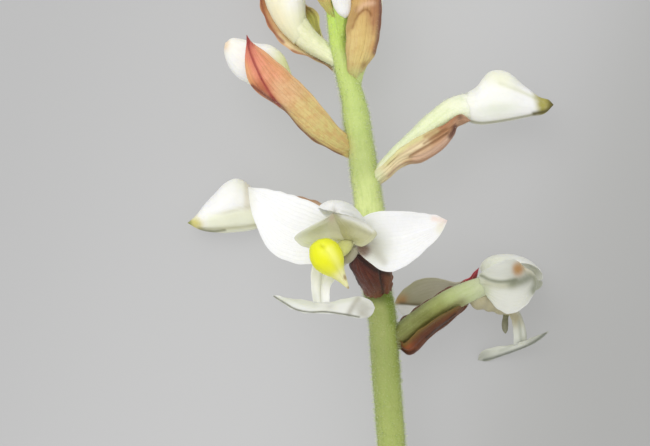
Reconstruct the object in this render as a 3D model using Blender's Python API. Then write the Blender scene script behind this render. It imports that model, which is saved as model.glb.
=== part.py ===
# A cut flower spike of a jewel orchid, lying on a flat surface.
# Metres, +Z up. The stalk lies along Y with the tip of the spike at +Y. The flower that faces the
# viewer looks straight up (+Z). The surface it lies on is z = 0.
#
# The shapes are drawn as seen from above, on a sheet whose unit is a tenth of a millimetre:
# (x to the right, y down the sheet towards the cut end, z up towards the eye, from the stalk's axis).
import bpy
import numpy as np

# ---------------------------------------------------------------- driving dimensions
UNIT = 1e-4               # one sheet unit, 0.1 mm
EYE = 3500.0              # the sheet is drawn from 350 mm above the stalk's axis
MIDDLE = (325.0, 223.0)   # the sheet point straight below the eye
LIFT = 62.9               # height of the stalk's axis over the surface, where it is level
SHIFT = (-46.4, 2.6)      # from the sheet's middle to the middle of the spike

GAP = 2.5                 # clearance between pieces that grow out of each other, 0.25 mm
SEPAL = 3.6               # thickness of a sepal at its middle
PETAL = 3.2
LIP = 4.2
BRACT = 3.6
STALK_SIDES = 14
OVARY_SIDES = 12
BUD_SIDES = 12


# ---------------------------------------------------------------- sheet to space
def at(points):
    """Sheet points as points in space, in tenths of a millimetre."""
    p = np.asarray(points, float)
    k = (EYE - p[..., 2]) / EYE
    x = (p[..., 0] - MIDDLE[0]) * k + SHIFT[0]
    y = (MIDDLE[1] - p[..., 1]) * k + SHIFT[1]
    return np.stack([x, y, p[..., 2] + LIFT], -1)


def unit(v):
    return v / np.maximum(np.linalg.norm(v, axis=-1, keepdims=True), 1e-12)


def along(points, u):
    """Points at the shares u of the length of one smooth curve through the given points."""
    p = np.asarray(points, float)
    if len(p) == 2:
        p = np.array([p[0], (p[0] + p[1]) / 2, p[1]])
    t = np.concatenate([[0], np.cumsum(np.linalg.norm(np.diff(p, axis=0), axis=1) ** 0.6)])
    m = np.gradient(p, t, axis=0)
    fine = [p[:1]]
    for i in range(len(p) - 1):
        s = np.linspace(0, 1, 25)[1:, None]
        d = t[i + 1] - t[i]
        fine.append((2 * s**3 - 3 * s**2 + 1) * p[i] + (s**3 - 2 * s**2 + s) * d * m[i]
                    + (3 * s**2 - 2 * s**3) * p[i + 1] + (s**3 - s**2) * d * m[i + 1])
    fine = np.concatenate(fine)
    far = np.concatenate([[0], np.cumsum(np.linalg.norm(np.diff(fine, axis=0), axis=1))])
    u = np.asarray(u, float) * far[-1]
    return np.stack([np.interp(u, far, fine[:, k]) for k in range(3)], -1)


def smooth(u, pairs):
    """A number that changes smoothly along a length, through (share, value) pairs."""
    x, y = (np.array([q[i] for q in pairs], float) for i in range(2))
    m = np.gradient(y, x) if len(x) > 2 else np.full(2, (y[1] - y[0]) / (x[1] - x[0]))
    u = np.clip(np.asarray(u, float), x[0], x[-1])
    i = np.clip(np.searchsorted(x, u) - 1, 0, len(x) - 2)
    d = x[i + 1] - x[i]
    s = (u - x[i]) / d
    return ((2 * s**3 - 3 * s**2 + 1) * y[i] + (s**3 - 2 * s**2 + s) * d * m[i]
            + (3 * s**2 - 2 * s**3) * y[i + 1] + (s**3 - s**2) * d * m[i + 1])


# ---------------------------------------------------------------- closed solids
def leaf(left, middle, right, thick, nu=8, nv=6, both=False):
    """A sepal, petal or bract: a thin solid over three rails, with sharp edges. It closes to a point
    where the rails end and, with both, also where they start."""
    s = np.linspace(0, 1, nu + 1)
    us = 0.5 - 0.5 * np.cos(np.pi * s) if both else 1 - (1 - s) ** 1.35
    vs = np.sin(np.linspace(-1, 1, nv + 1) * np.pi / 2) * 0.5 + np.linspace(-1, 1, nv + 1) * 0.5
    a, b, c = (along(at(r), us)[:, None, :] for r in (left, middle, right))
    v = vs[None, :, None]
    p = a * v * (v - 1) / 2 + b * (1 - v * v) + c * v * (v + 1) / 2
    n = unit(np.cross(np.gradient(p, us, axis=0), np.gradient(p, vs, axis=1)))
    n[-1] = n[-2]
    if both:
        n[0] = n[1]
    uu, vv = np.meshgrid(us, vs, indexing="ij")
    h = thick / 2 * np.sqrt(1 - np.abs(vv) ** 3) * np.sqrt(1 - uu**5)
    if both:
        h = h * np.sqrt(1 - (1 - uu) ** 5)
    sides = p + n * h[..., None], p - n * h[..., None]
    points, ids = [], {}

    def corner(side, i, j):
        pole, edge = i == nu or (both and i == 0), j in (0, nv)
        key = ("pole", i) if pole else ("edge", i, j) if edge else (side, i, j)
        if key not in ids:
            ids[key] = len(points)
            points.append(p[i, nv // 2] if pole else p[i, j] if edge else sides[side][i, j])
        return ids[key]

    faces = []
    for side in (0, 1):
        for i in range(nu):
            for j in range(nv):
                q = [corner(side, i, j), corner(side, i + 1, j), corner(side, i + 1, j + 1), corner(side, i, j + 1)]
                q = [x for k, x in enumerate(q) if x != q[k - 1]]
                if len(q) > 2:
                    faces.append(q if side == 0 else q[::-1])
    if not both:
        for j in range(nv):
            q = [corner(0, 0, j), corner(0, 0, j + 1), corner(1, 0, j + 1), corner(1, 0, j)]
            faces.append([x for k, x in enumerate(q) if x != q[k - 1]])
    return points, faces


def rings(rows, start, end):
    """One solid from a stack of rings. Each end closes on a point, or on the middle of its ring."""
    n = rows.shape[1]
    points = list(rows.reshape(-1, 3))
    faces = [[i * n + j, i * n + (j + 1) % n, (i + 1) * n + (j + 1) % n, (i + 1) * n + j]
             for i in range(len(rows) - 1) for j in range(n)]
    for row, pole, turned in ((0, start, True), (len(rows) - 1, end, False)):
        k = len(points)
        points.append(rows[row].mean(0) if pole is None else pole)
        for j in range(n):
            f = [row * n + j, row * n + (j + 1) % n, k]
            faces.append(f[::-1] if turned else f)
    return points, faces


def frames(path):
    """Directions along and across a path, without twist."""
    d = unit(np.gradient(path, axis=0))
    first = np.cross(d[0], (0.0, 0.0, 1.0))
    if np.linalg.norm(first) < 0.2:
        first = np.cross(d[0], (1.0, 0.0, 0.0))
    a = [unit(first)]
    for i in range(1, len(d)):
        a.append(unit(a[-1] - d[i] * (a[-1] @ d[i])))
    return d, np.array(a), np.cross(d, np.array(a))


def tube(path, radius, nu=8, n=OVARY_SIDES, flat=1.0, turn=0.0, start=False, end=False, grow=0.0):
    """A stalk, an ovary or a small bud. start and end close it to a point there. flat and turn give
    it an oval section, and grow makes it thicker all over."""
    s = np.linspace(0, 1, nu + 1)
    if start and end:
        s = (0.5 - 0.5 * np.cos(np.pi * s))
    elif end:
        s = np.sin(s * np.pi / 2) * 0.6 + s * 0.4
    path = at(path)
    first, last = along(path, [0, 1])
    s = s[1 if start else 0: nu if end else nu + 1]
    c = along(path, s)
    d, a, b = frames(c)
    r = (smooth(s, radius) + grow)[:, None, None]
    th = np.linspace(0, 2 * np.pi, n, endpoint=False)[None, :, None]
    k = np.radians(turn)
    x, y = np.cos(th), np.sin(th) * flat
    rows = c[:, None, :] + r * (a[:, None, :] * (x * np.cos(k) - y * np.sin(k)) + b[:, None, :] * (x * np.sin(k) + y * np.cos(k)))
    return rings(rows, first if start else None, last if end else None)


def pod(top, bottom, half, nu=9, n=BUD_SIDES, middle=0.5):
    """A closed bud between its upper and its lower outline, with a half width to each side."""
    s = np.linspace(0, 1, nu + 1)[:-1]
    s = np.sin(s * np.pi / 2) * 0.6 + s * 0.4
    t, b, end = along(at(top), s), along(at(bottom), s), at(top[-1])
    c = b + (t - b) * middle
    d = unit(np.gradient(np.concatenate([c, end[None]]), axis=0))[:-1]
    up = unit((t - b) - d * np.sum((t - b) * d, -1, keepdims=True))
    w = unit(np.cross(up, d)) * smooth(s, half)[:, None]
    th = np.linspace(0, 2 * np.pi, n, endpoint=False)[None, :, None]
    rise = np.where(np.sin(th) > 0, (t - c)[:, None, :], (c - b)[:, None, :])
    return rings(c[:, None, :] + w[:, None, :] * np.cos(th) + rise * np.sin(th), None, end)


# ---------------------------------------------------------------- objects
def colour(r, g, b):
    """A linear colour from the 0 to 255 values seen on the plant."""
    return tuple(((c / 255 + 0.055) / 1.055) ** 2.4 if c > 10 else c / 255 / 12.92 for c in (r, g, b)) + (1.0,)


def material(name, rgb, roughness):
    m = bpy.data.materials.new(name)
    m.use_nodes = True
    bsdf = next(n for n in m.node_tree.nodes if n.type == "BSDF_PRINCIPLED")
    bsdf.inputs["Base Color"].default_value = colour(*rgb)
    bsdf.inputs["Roughness"].default_value = roughness
    bsdf.inputs["Metallic"].default_value = 0.0
    m.diffuse_color = colour(*rgb)
    return m


def add(name, solid, rgb, roughness=0.55):
    points, faces = solid
    mesh = bpy.data.meshes.new(name)
    mesh.from_pydata([tuple(q) for q in np.asarray(points, float) * UNIT], [], faces)
    mesh.update()
    mesh.shade_smooth()
    mesh.set_sharp_from_angle(angle=np.radians(50))
    mesh.materials.append(material(name, rgb, roughness))
    obj = bpy.data.objects.new(name, mesh)
    bpy.context.scene.collection.objects.link(obj)
    return obj


def helper(name, solid):
    """A cutter, or a shape that another one takes in. It isn't part of the plant."""
    obj = add(name, solid, (200, 200, 200))
    obj.hide_render = True
    obj.display_type = "WIRE"
    return obj


def combine(obj, other, how):
    m = obj.modifiers.new(other.name, "BOOLEAN")
    m.operation = how
    m.object = other
    m.solver = "EXACT"
    return obj


GREEN, PALE_GREEN = (172, 198, 108), (214, 224, 170)
WHITE, SHADED, CREAM = (240, 240, 236), (178, 178, 164), (236, 234, 205)
TAN, BROWN_RED, DARK_RED = (190, 140, 92), (160, 95, 72), (96, 48, 38)
YELLOW, OLIVE = (238, 236, 30), (196, 200, 130)

for old in list(bpy.data.objects):
    bpy.data.objects.remove(old, do_unlink=True)

# ---------------------------------------------------------------- the stalk
stalk_path = [(310, -146, -45), (315, -118, -33), (322, -80, -19), (329, -30, -6), (336, 14, -1), (339, 43, 0),
              (345, 71, 0), (353, 100, 0), (357.5, 128, 0), (364, 171, 0), (369, 206, 0), (376.5, 284, 0),
              (382, 313, 0), (385, 356, 0), (388, 398, 0), (391.5, 446, -2), (395, 500, -9), (399, 560, -24),
              (402, 610, -40), (404, 645, -50.6)]
stalk_radius = [(0, 3.4), (0.08, 5.4), (0.15, 7), (0.20, 9), (0.27, 9.6), (0.305, 11), (0.34, 13), (0.375, 13.2),
                (0.43, 13.9), (0.56, 14.9), (0.65, 15.2), (0.73, 14.2), (0.79, 13.8), (0.9, 13.4), (1, 13.0)]
add("flower_stem", tube(stalk_path, stalk_radius, 44, STALK_SIDES), GREEN, 0.6)
stalk_room = helper("stem_clearance", tube(stalk_path, stalk_radius, 44, STALK_SIDES, grow=GAP))


def grown(prefix, ovary, ovary_radius, bract, ovary_rgb, bract_rgb, steps=8):
    """An ovary on the stalk and the bract below it, both cut back to leave the clearance."""
    a = add(prefix + "_ovary", tube(ovary, ovary_radius, steps), ovary_rgb, 0.55)
    combine(a, stalk_room, "DIFFERENCE")
    b = add(prefix + "_bract", leaf(*bract, BRACT), bract_rgb, 0.6)
    combine(b, stalk_room, "DIFFERENCE")
    room = helper(prefix + "_ovary_clearance", tube(ovary, ovary_radius, steps, grow=GAP))
    combine(b, room, "DIFFERENCE")


def lip(name, sac, claw, lobes, rgb):
    """The lip: a small sac, a claw and two lobes across its end, in one piece."""
    obj = add(name, leaf(*claw, LIP, nu=8, nv=4), rgb, 0.45)
    combine(obj, helper(name + "_lobes", leaf(*lobes, LIP, nu=12, nv=4, both=True)), "UNION")
    combine(obj, helper(name + "_sac", tube(*sac, nu=6, n=10, start=True, end=True)), "UNION")


# ---------------------------------------------------------------- front flower, which faces up
grown("front_flower",
      [(377, 293, 2), (375.5, 276, 27), (366, 256, 60), (352, 241, 82)],
      [(0, 8), (0.3, 8.8), (0.75, 10), (1, 8)],
      ([(364, 300, 0), (362, 291, 18), (357, 276, 38), (351, 265, 56), (353, 257, 71)],
       [(377, 307, 0), (377, 299, 20), (372, 287, 42), (361, 271, 62), (353, 257, 71)],
       [(392, 301, 0), (393, 285, 14), (391, 270, 32), (380, 261, 54), (353, 257, 71)]),
      PALE_GREEN, DARK_RED)
add("front_flower_left_sepal", leaf(
    [(341, 224, 91), (318, 205, 87), (300, 197.5, 82), (285, 193, 77), (265, 188.5, 71), (248, 187, 65)],
    [(339, 234, 89), (318, 234, 86), (298, 231, 82), (279, 222, 77), (262, 206, 71), (248, 187, 65)],
    [(342, 244, 91), (325, 262, 90), (307, 264.5, 88), (290, 262, 84), (272, 253, 80), (258, 230, 74), (250, 205, 69), (248, 187, 65)],
    SEPAL, nu=10), WHITE, 0.45)
add("front_flower_right_sepal", leaf(
    [(359, 225, 91), (364, 216.5, 90), (376, 212, 87), (400, 211, 83), (421, 213, 78), (438, 216, 74), (447.5, 220.5, 71)],
    [(360, 237, 89), (378, 241, 86), (400, 240, 81), (421, 233, 76), (437, 226, 73), (447.5, 220.5, 71)],
    [(358, 249, 91), (362, 255, 91), (369, 262, 91), (380, 270, 91), (389, 272, 90), (400, 269, 88), (413, 261, 84), (427, 248, 80), (440, 235, 76), (447.5, 220.5, 71)],
    SEPAL, nu=10), WHITE, 0.45)
add("front_flower_dorsal_sepal", leaf(
    [(343, 220, 91), (328, 213, 97), (319, 208, 109), (324, 209, 124), (334, 211.5, 135)],
    [(350, 217, 89), (346, 205, 95), (340, 201.5, 108), (336, 203, 122), (334, 211.5, 135)],
    [(356, 220, 91), (361, 217, 98), (358, 212, 110), (347, 210, 124), (334, 211.5, 135)],
    SEPAL, nu=8), WHITE, 0.45)
add("front_flower_left_petal", leaf(
    [(344, 237, 102), (338.5, 228, 111), (335, 219, 121), (333, 216.5, 129)],
    [(341, 239, 102), (328, 236, 111), (314, 232, 120), (322, 224, 127), (333, 216.5, 129)],
    [(338, 242, 102), (320, 249, 108), (302, 246, 117), (295, 238, 123), (306, 229, 129), (322, 221, 131), (333, 216.5, 129)],
    PETAL, nu=9), SHADED, 0.5)
add("front_flower_right_petal", leaf(
    [(348.5, 237, 101), (344, 229, 110), (340, 221, 120), (337.5, 217.5, 127)],
    [(352, 239.5, 101), (358, 237, 108), (362, 231, 114), (354, 222.5, 123), (337.5, 217.5, 127)],
    [(354, 243, 100), (362, 246.5, 103), (371, 241.5, 108), (377, 234, 112), (370, 226, 118), (355, 218.5, 125), (337.5, 217.5, 127)],
    PETAL, nu=9), SHADED, 0.5)
lip("front_flower_lip",
    ([(355, 250, 90), (352, 257, 92), (345, 267, 93)], [(0, 2), (0.15, 4.5), (0.5, 6.3), (0.85, 4.5), (1, 2)]),
    ([(346, 254, 91), (328, 258, 96), (313, 264, 102), (311.5, 280, 112), (313, 297, 119), (316, 309, 124)],
     [(346, 259, 91), (334, 263, 96), (323, 272, 102), (321, 284, 111), (321, 298, 118), (322, 310, 123)],
     [(346, 264, 92), (341, 270, 98), (334, 279, 104), (330, 287, 112), (329.5, 298, 119), (329, 310, 124)]),
    ([(272, 295.5, 113), (285, 297.5, 115), (300, 299.5, 117), (316, 302, 119), (330, 302, 119), (345, 299, 118), (360, 297, 116), (369, 300, 114), (376, 309, 113)],
     [(272, 295.5, 113), (285, 300.5, 117), (300, 305, 121), (316, 308.5, 124), (330, 308.5, 124), (345, 307.5, 122), (358, 307.5, 119), (368, 307, 116), (376, 309, 113)],
     [(272, 295.5, 113), (283, 304, 119), (295, 311, 125), (310, 314, 129), (325, 314, 130), (345, 316.5, 127), (359, 318.5, 122), (369, 316, 117), (376, 309, 113)]),
    WHITE)
add("front_flower_column", tube([(350, 240, 89.5), (345.5, 247, 99), (338.5, 253.5, 107)], [(0, 4.6), (0.5, 4.9), (1, 5)], 4, 10), OLIVE)
add("front_flower_anther_cap", tube(
    [(317, 239, 129), (322, 248, 131), (328, 258, 132), (335, 268, 131), (341, 277, 129), (345, 283, 127), (348.5, 288.5, 125)],
    [(0, 0.5), (0.06, 9), (0.17, 14.5), (0.34, 17), (0.52, 13.5), (0.68, 7.5), (0.82, 4.2), (1, 0.8)], 12, 14, flat=0.92, start=True, end=True),
    YELLOW, 0.4)

# ---------------------------------------------------------------- lower flower, turned to the right and down
grown("lower_flower",
      [(383, 347, -2), (402, 334, 0), (431, 313, 1), (460, 296, -1), (486.5, 285, -6)],
      [(0, 12), (0.5, 12.3), (0.8, 11.3), (1, 9)],
      ([(380, 334, -6), (399, 320.5, -7), (417.6, 306, -8), (434.5, 294, -9), (450, 284.5, -10), (464, 278.5, -12), (480, 267, -15)],
       [(384, 361, -20), (404, 347, -18), (421, 335, -18), (438, 322, -18), (454, 308, -18), (468, 291, -18), (480, 267, -15)],
       [(387, 374, 8), (404, 359, 11), (418, 351, 13), (433, 336.5, 13), (451, 320, 10), (467.5, 306, 1), (480, 267, -15)]),
      GREEN, DARK_RED)
add("lower_flower_far_sepal", leaf(
    [(481, 277, -23), (470, 279, -27), (456, 282, -30), (440, 278, -32), (430, 277.5, -33), (420, 279, -34), (410, 284, -35), (401, 292, -35), (394, 304, -35)],
    [(481, 284, -24), (465, 290, -31), (445, 297, -36), (425, 303, -38), (410, 305, -38), (394, 304, -35)],
    [(480, 291, -24), (468, 303, -29), (450, 316, -32), (432, 324, -33), (414, 322, -34), (401, 314, -35), (394, 304, -35)],
    SEPAL, nu=10), SHADED, 0.5)
add("lower_flower_near_sepal", leaf(
    [(489, 275, 1), (495, 267, 20), (505, 262, 43), (514, 263.5, 62), (519, 268.8, 79)],
    [(494, 284, 1), (509, 287, 17), (524, 286, 37), (528, 279, 59), (519, 268.8, 79)],
    [(492, 294, 0), (499, 307, 13), (510, 313, 30), (524, 306, 46), (532, 291, 61), (519, 268.8, 79)],
    SEPAL, nu=9), WHITE, 0.45)
add("lower_flower_dorsal_sepal", leaf(
    [(497, 273, -8), (508, 266, -9), (522, 263, -17), (536, 267, -29), (543, 276, -41), (539, 284, -51)],
    [(490, 271, -14), (492, 260, -19), (501, 256, -28), (516, 257, -39), (530, 265, -48), (539, 284, -51)],
    [(484, 275, -21), (480, 267, -31), (488, 262, -43), (504, 264, -51), (522, 272, -55), (539, 284, -51)],
    SEPAL, nu=8), WHITE, 0.45)
add("lower_flower_near_petal", leaf(
    [(498, 278, -15), (508, 272, -22), (520, 272, -34), (533, 280, -44)],
    [(500, 283, -13), (514, 283, -17), (528, 283, -26), (535, 282, -36), (533, 280, -44)],
    [(500, 288, -13), (515, 291, -11), (531, 292, -14), (541, 287, -21), (542, 281, -31), (533, 280, -44)],
    PETAL, nu=8), SHADED, 0.5)
add("lower_flower_far_petal", leaf(
    [(492, 279, -21), (498, 274, -33), (512, 275, -43), (528, 281, -48)],
    [(490, 283, -23), (492, 283, -37), (498, 282, -47), (512, 281, -52), (528, 281, -48)],
    [(488, 287, -25), (483, 290, -38), (481, 290, -48), (487, 288, -55), (504, 285, -56), (528, 281, -48)],
    PETAL, nu=8), SHADED, 0.5)
lip("lower_flower_lip",
    ([(478, 302, -9), (486, 303, -14), (494, 304, -19)], [(0, 2), (0.15, 5), (0.5, 7.5), (0.85, 5), (1, 2)]),
    ([(488, 306, -12), (500, 312, -18), (511, 315, -25), (515, 325, -32), (516, 335, -37), (517, 347, -41)],
     [(488, 302, -18), (502, 308, -24), (514, 316, -31), (519, 326, -36), (521, 336, -40), (522, 346, -43)],
     [(488, 298, -22), (503, 304, -29), (518, 314, -35), (524, 326, -38), (526, 336, -41), (527, 344, -43)]),
    ([(477.5, 360, -62), (479.5, 354, -57), (486, 349, -53), (498, 346.5, -49), (512, 344.5, -43), (526, 340, -36), (540, 334.5, -26), (549, 331, -18)],
     [(477.5, 360, -62), (482, 358, -60), (491, 354.5, -56), (503, 351.5, -50), (515, 348.5, -44), (528, 343.5, -36), (540, 337, -27), (549, 331, -18)],
     [(477.5, 360, -62), (485, 361.5, -61.6), (498, 357.5, -58), (510, 353, -51), (521, 349, -44), (532, 344, -36), (542, 338, -27), (549, 331, -18)]),
    SHADED)
add("lower_flower_column", tube([(496, 290, -19), (501, 292, -24), (504, 294, -27)], [(0, 5), (0.5, 5.5), (1, 5)], 3, 10), OLIVE)
add("lower_flower_anther_cap", tube(
    [(511, 287, -38), (511, 296, -41), (510, 305, -43), (508, 316, -42), (506, 325, -39), (505, 334, -36)],
    [(0, 0.5), (0.08, 7), (0.25, 10.5), (0.45, 8), (0.62, 4.5), (0.8, 3), (1, 0.8)], 10, 12, start=True, end=True),
    OLIVE, 0.4)

# ---------------------------------------------------------------- left bud, which lies on the surface
grown("left_bud",
      [(368, 223, -3), (347, 219.5, -13), (312, 214, -26), (284, 209.5, -36), (267, 208, -40)],
      [(0, 8), (0.4, 10), (0.75, 10.5), (1, 9.5)],
      ([(370, 213, -6), (345, 208, -12), (320, 202, -21), (300, 195.5, -28), (287, 191.5, -33), (276, 192, -37)],
       [(368, 238, 6), (345, 232, 1), (320, 223, -6), (300, 213, -14), (287, 202, -24), (276, 192, -37)],
       [(370, 238, -18), (345, 236, -27), (322, 232, -37), (302, 226, -44), (286, 212, -50), (276, 192, -37)]),
      PALE_GREEN, BROWN_RED)
add("left_bud", pod(
    [(263.5, 196, -41), (256, 187, -42), (245, 181, -42.5), (234, 179, -43), (221, 184, -43.5), (206, 200, -44), (190, 223, -44)],
    [(264, 220, -41), (258, 227, -42), (248, 229.5, -43), (230, 232, -43.5), (212, 233, -44), (199, 230, -44), (190, 223, -44)],
    [(0, 10), (0.25, 17), (0.5, 19.5), (0.72, 15), (0.9, 7), (1, 1.5)]), WHITE, 0.45)

# ---------------------------------------------------------------- right bud
grown("right_bud",
      [(362, 190, -1), (379, 173, 2), (395, 156, 3), (416, 138.5, 1), (435, 122, -3), (452, 111.5, -6), (468, 106, -8)],
      [(0, 7), (0.2, 8), (0.45, 11), (0.7, 13.3), (1, 14.6)],
      ([(366, 182, 9), (385, 171, 13), (401, 161, 17), (417, 152, 18), (436, 138, 17), (452, 127.5, 15), (475, 123, 9)],
       [(370, 196, 0), (389, 177.5, 0), (405, 168, -1), (419, 166, -2), (433, 158, -4), (447, 146, -5), (475, 124, 4)],
       [(364, 184, -12), (384, 174, -15), (400, 163, -17), (417, 153, -20), (436, 139, -24), (452, 129, -25), (475, 124, -2)]),
      PALE_GREEN, BROWN_RED)
add("right_bud", pod(
    [(471.5, 90, -9), (478, 86, -9), (483, 78, -9), (489, 72, -10), (496, 70, -10), (504, 71, -10), (513, 75.5, -11), (523, 84.4, -11), (539.6, 97, -12), (548.6, 99.7, -12), (553.7, 104.8, -12)],
    [(474, 121, -9), (483, 123, -9), (498, 121.4, -10), (514, 118.8, -11), (529.4, 115.7, -11), (544.7, 112.5, -12), (553.7, 104.8, -12)],
    [(0, 15), (0.25, 19.5), (0.5, 19.5), (0.72, 12.5), (0.9, 6), (1, 1.5)]), WHITE, 0.45)

# ---------------------------------------------------------------- upper left bud, behind its long bract
grown("upper_left_bud",
      [(362, 163, -3), (345, 147, 0), (322, 122, 3), (300, 98, 4), (288, 85, 4)],
      [(0, 7), (0.35, 9), (0.7, 11.2), (1, 11)],
      ([(364, 147, 0), (342, 137, 11), (323, 114, 17), (305, 90, 21), (289, 73, 24), (270, 55, 28), (256, 45, 31), (247, 37.5, 34)],
       [(362, 162, 8), (342, 149, 17), (321, 130, 27), (298, 110, 34), (278, 92, 38), (262, 70, 38), (247, 37.5, 34)],
       [(362, 174, 0), (342, 159, 9), (325, 148, 14), (302, 131, 20), (281, 108, 25), (263, 94, 29), (250, 79, 32), (246, 60, 34), (247, 37.5, 34)]),
      PALE_GREEN, TAN)
add("upper_left_bud", pod(
    [(294.5, 72, 3), (287, 56, 3), (272, 44.5, 3), (256, 42, 3), (241, 38.5, 3), (232, 38, 3), (225, 43, 3)],
    [(279, 92, 3), (263, 93.5, 3), (247, 86, 3), (234, 76, 3), (226, 62, 3), (223.5, 50, 3), (225, 43, 3)],
    [(0, 10.5), (0.3, 16), (0.55, 16), (0.8, 10), (1, 2)]), WHITE, 0.45)

# ---------------------------------------------------------------- top left bud, in front of its bract
grown("top_left_bud",
      [(345, 74, -4), (331, 59, -8), (316, 44, -12), (305, 31.5, -14)],
      [(0, 7), (0.4, 9.5), (0.8, 12), (1, 12.5)],
      ([(346, 79, -6), (328, 70.5, -9), (315, 67, -11), (300, 58.5, -13), (285, 50.5, -15), (269, 32, -17), (260, 5, -19), (259, -20, -21), (264, -46, -24)],
       [(348, 69, -18), (335, 55, -27), (319, 38, -34), (301, 14, -40), (287, -8, -42), (275, -28, -40), (264, -46, -24)],
       [(347, 62, -12), (334, 47, -18), (324, 30, -23), (319, 10, -27), (311, -12, -30), (292, -34, -30), (264, -46, -24)]),
      CREAM, BROWN_RED)
add("top_left_bud", pod(
    [(311.5, 21, -15), (309, 8, -15), (306.5, -6, -16), (302, -22, -17), (294, -38, -18), (281, -54, -19)],
    [(294, 38, -15), (280, 25, -15), (270, 7, -16), (266, -14, -17), (269, -35, -18), (281, -54, -19)],
    [(0, 11.5), (0.3, 17), (0.6, 16.5), (0.82, 9), (1, 1.5)]), CREAM, 0.45)

# ---------------------------------------------------------------- top right bud, behind its bract
grown("top_right_bud",
      [(348, 90, -2), (357, 71, 0), (364, 50, 2), (367, 32, 3)],
      [(0, 6), (0.4, 7.5), (1, 10)],
      ([(347, 88, 5), (349.5, 74, 14), (349, 50, 17), (350, 25, 19), (352, 5, 20), (355, -16, 21), (362, -46, 22)],
       [(356, 92, 7), (360, 74, 17), (365, 50, 24), (368, 25, 27), (369, 0, 28), (368, -20, 27), (362, -46, 22)],
       [(362, 86, 0), (368, 69, 6), (376, 53, 11), (380, 35, 14), (382.5, 15, 16), (381.5, -5, 18), (377, -24, 20), (362, -46, 22)]),
      PALE_GREEN, TAN)
add("top_right_bud", pod(
    [(356, 29, 3), (353, 14, 3), (352.5, -4, 3), (356, -22, 4), (365, -40, 5)],
    [(379, 29, 3), (382, 12, 3), (381.5, -8, 3), (376, -26, 4), (365, -40, 5)],
    [(0, 9.5), (0.35, 14.5), (0.65, 13), (0.85, 7), (1, 1.5)]), WHITE, 0.45)

# ---------------------------------------------------------------- top front bud, its bract to the left
grown("top_front_bud",
      [(339, 34, -1), (342, 17, 12), (341, 4, 20)],
      [(0, 5), (0.5, 6), (1, 8)],
      ([(334, 34, -4), (325, 12, -2), (317, -4, 2), (314, -22, 6), (318, -44, 12)],
       [(332, 32, 0), (325, 12, 8), (319, -2, 14), (317, -20, 17), (318, -44, 12)],
       [(336, 28, 4), (330, 13, 14), (327, -2, 21), (325, -20, 23), (318, -44, 12)]),
      CREAM, TAN, steps=6)
add("top_front_bud", pod(
    [(332.5, 1, 23), (330, -10, 26), (329, -22, 28), (331, -34, 29), (338, -50, 30)],
    [(349, 1, 23), (351.5, -10, 26), (350.5, -23, 28), (347, -36, 29), (338, -50, 30)],
    [(0, 7.5), (0.35, 11), (0.65, 10), (0.85, 5.5), (1, 1.5)]), WHITE, 0.45)

# ---------------------------------------------------------------- smaller buds to the tip, past what is seen
def upper_bud(name, foot, outwards, length, lean=1.0):
    """A bud on the stalk near the tip: foot is its place on the stalk's axis, outwards the side it
    leans to, in degrees about the stalk (0 to the right, 90 towards the eye), and lean how far."""
    k = np.radians(outwards)
    out = np.array([np.cos(k), 0.0, np.sin(k)])
    up = unit(np.array([-0.15, -1.0, -0.22]))
    side = np.cross(out, up)
    foot = np.array(foot, float)

    def place(a, b):
        return foot + out * a * length + up * b * length

    path = [place(0, 0), place(0.10 + 0.10 * lean, 0.16), place(0.10 + 0.20 * lean, 0.42), place(0.09 + 0.27 * lean, 0.75), place(0.05 + 0.30 * lean, 1)]
    width = [(0, 0.09 * length), (0.3, 0.13 * length), (0.62, 0.175 * length), (0.85, 0.11 * length), (1, 0.02 * length)]
    bud = add(name, tube(path, width, 8, 10, end=True), CREAM, 0.45)
    combine(bud, stalk_room, "DIFFERENCE")
    clear = 0.175 * length + 2 * GAP
    rail = [place(0, -0.1), place(0.12 + 0.10 * lean, 0.10), place(0.12 + 0.20 * lean, 0.42), place(0.12 + 0.27 * lean, 0.74)]
    end = place(0.06 + 0.28 * lean, 1.0) + out * 0.5 * clear
    left, middle, right = ([q + d * clear * w for q, w in zip(rail, share)] + [end]
                           for d, share in ((side, (0.5, 0.8, 1.0, 0.8)), (out, (0.8, 0.95, 1.15, 1.1)), (-side, (0.5, 0.8, 1.0, 0.8))))
    bract = add(name + "_bract", leaf(left, middle, right, BRACT, nu=7, nv=6), TAN, 0.6)
    combine(bract, stalk_room, "DIFFERENCE")
    combine(bract, helper(name + "_clearance", tube(path, width, 8, 10, end=True, grow=GAP)), "DIFFERENCE")


upper_bud("upper_bud_1", (332, -14, -4), 238, 66, 0.7)
upper_bud("upper_bud_2", (328, -36, -7), 12, 58)
upper_bud("upper_bud_3", (325, -58, -13), 122, 52)
upper_bud("upper_bud_4", (322, -80, -19), 200, 46)
upper_bud("upper_bud_5", (319, -99, -26), 325, 40)
upper_bud("upper_bud_6", (315.5, -120, -34), 72, 34)

add("tip_bud", tube([(309.5, -149.5, -46), (307.5, -162, -50.5), (304.5, -178, -53.9), (300, -197, -55.6)],
                    [(0, 4), (0.22, 8.2), (0.5, 10), (0.8, 6.4), (1, 1)], 7, 10, end=True), TAN, 0.6)
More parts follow.
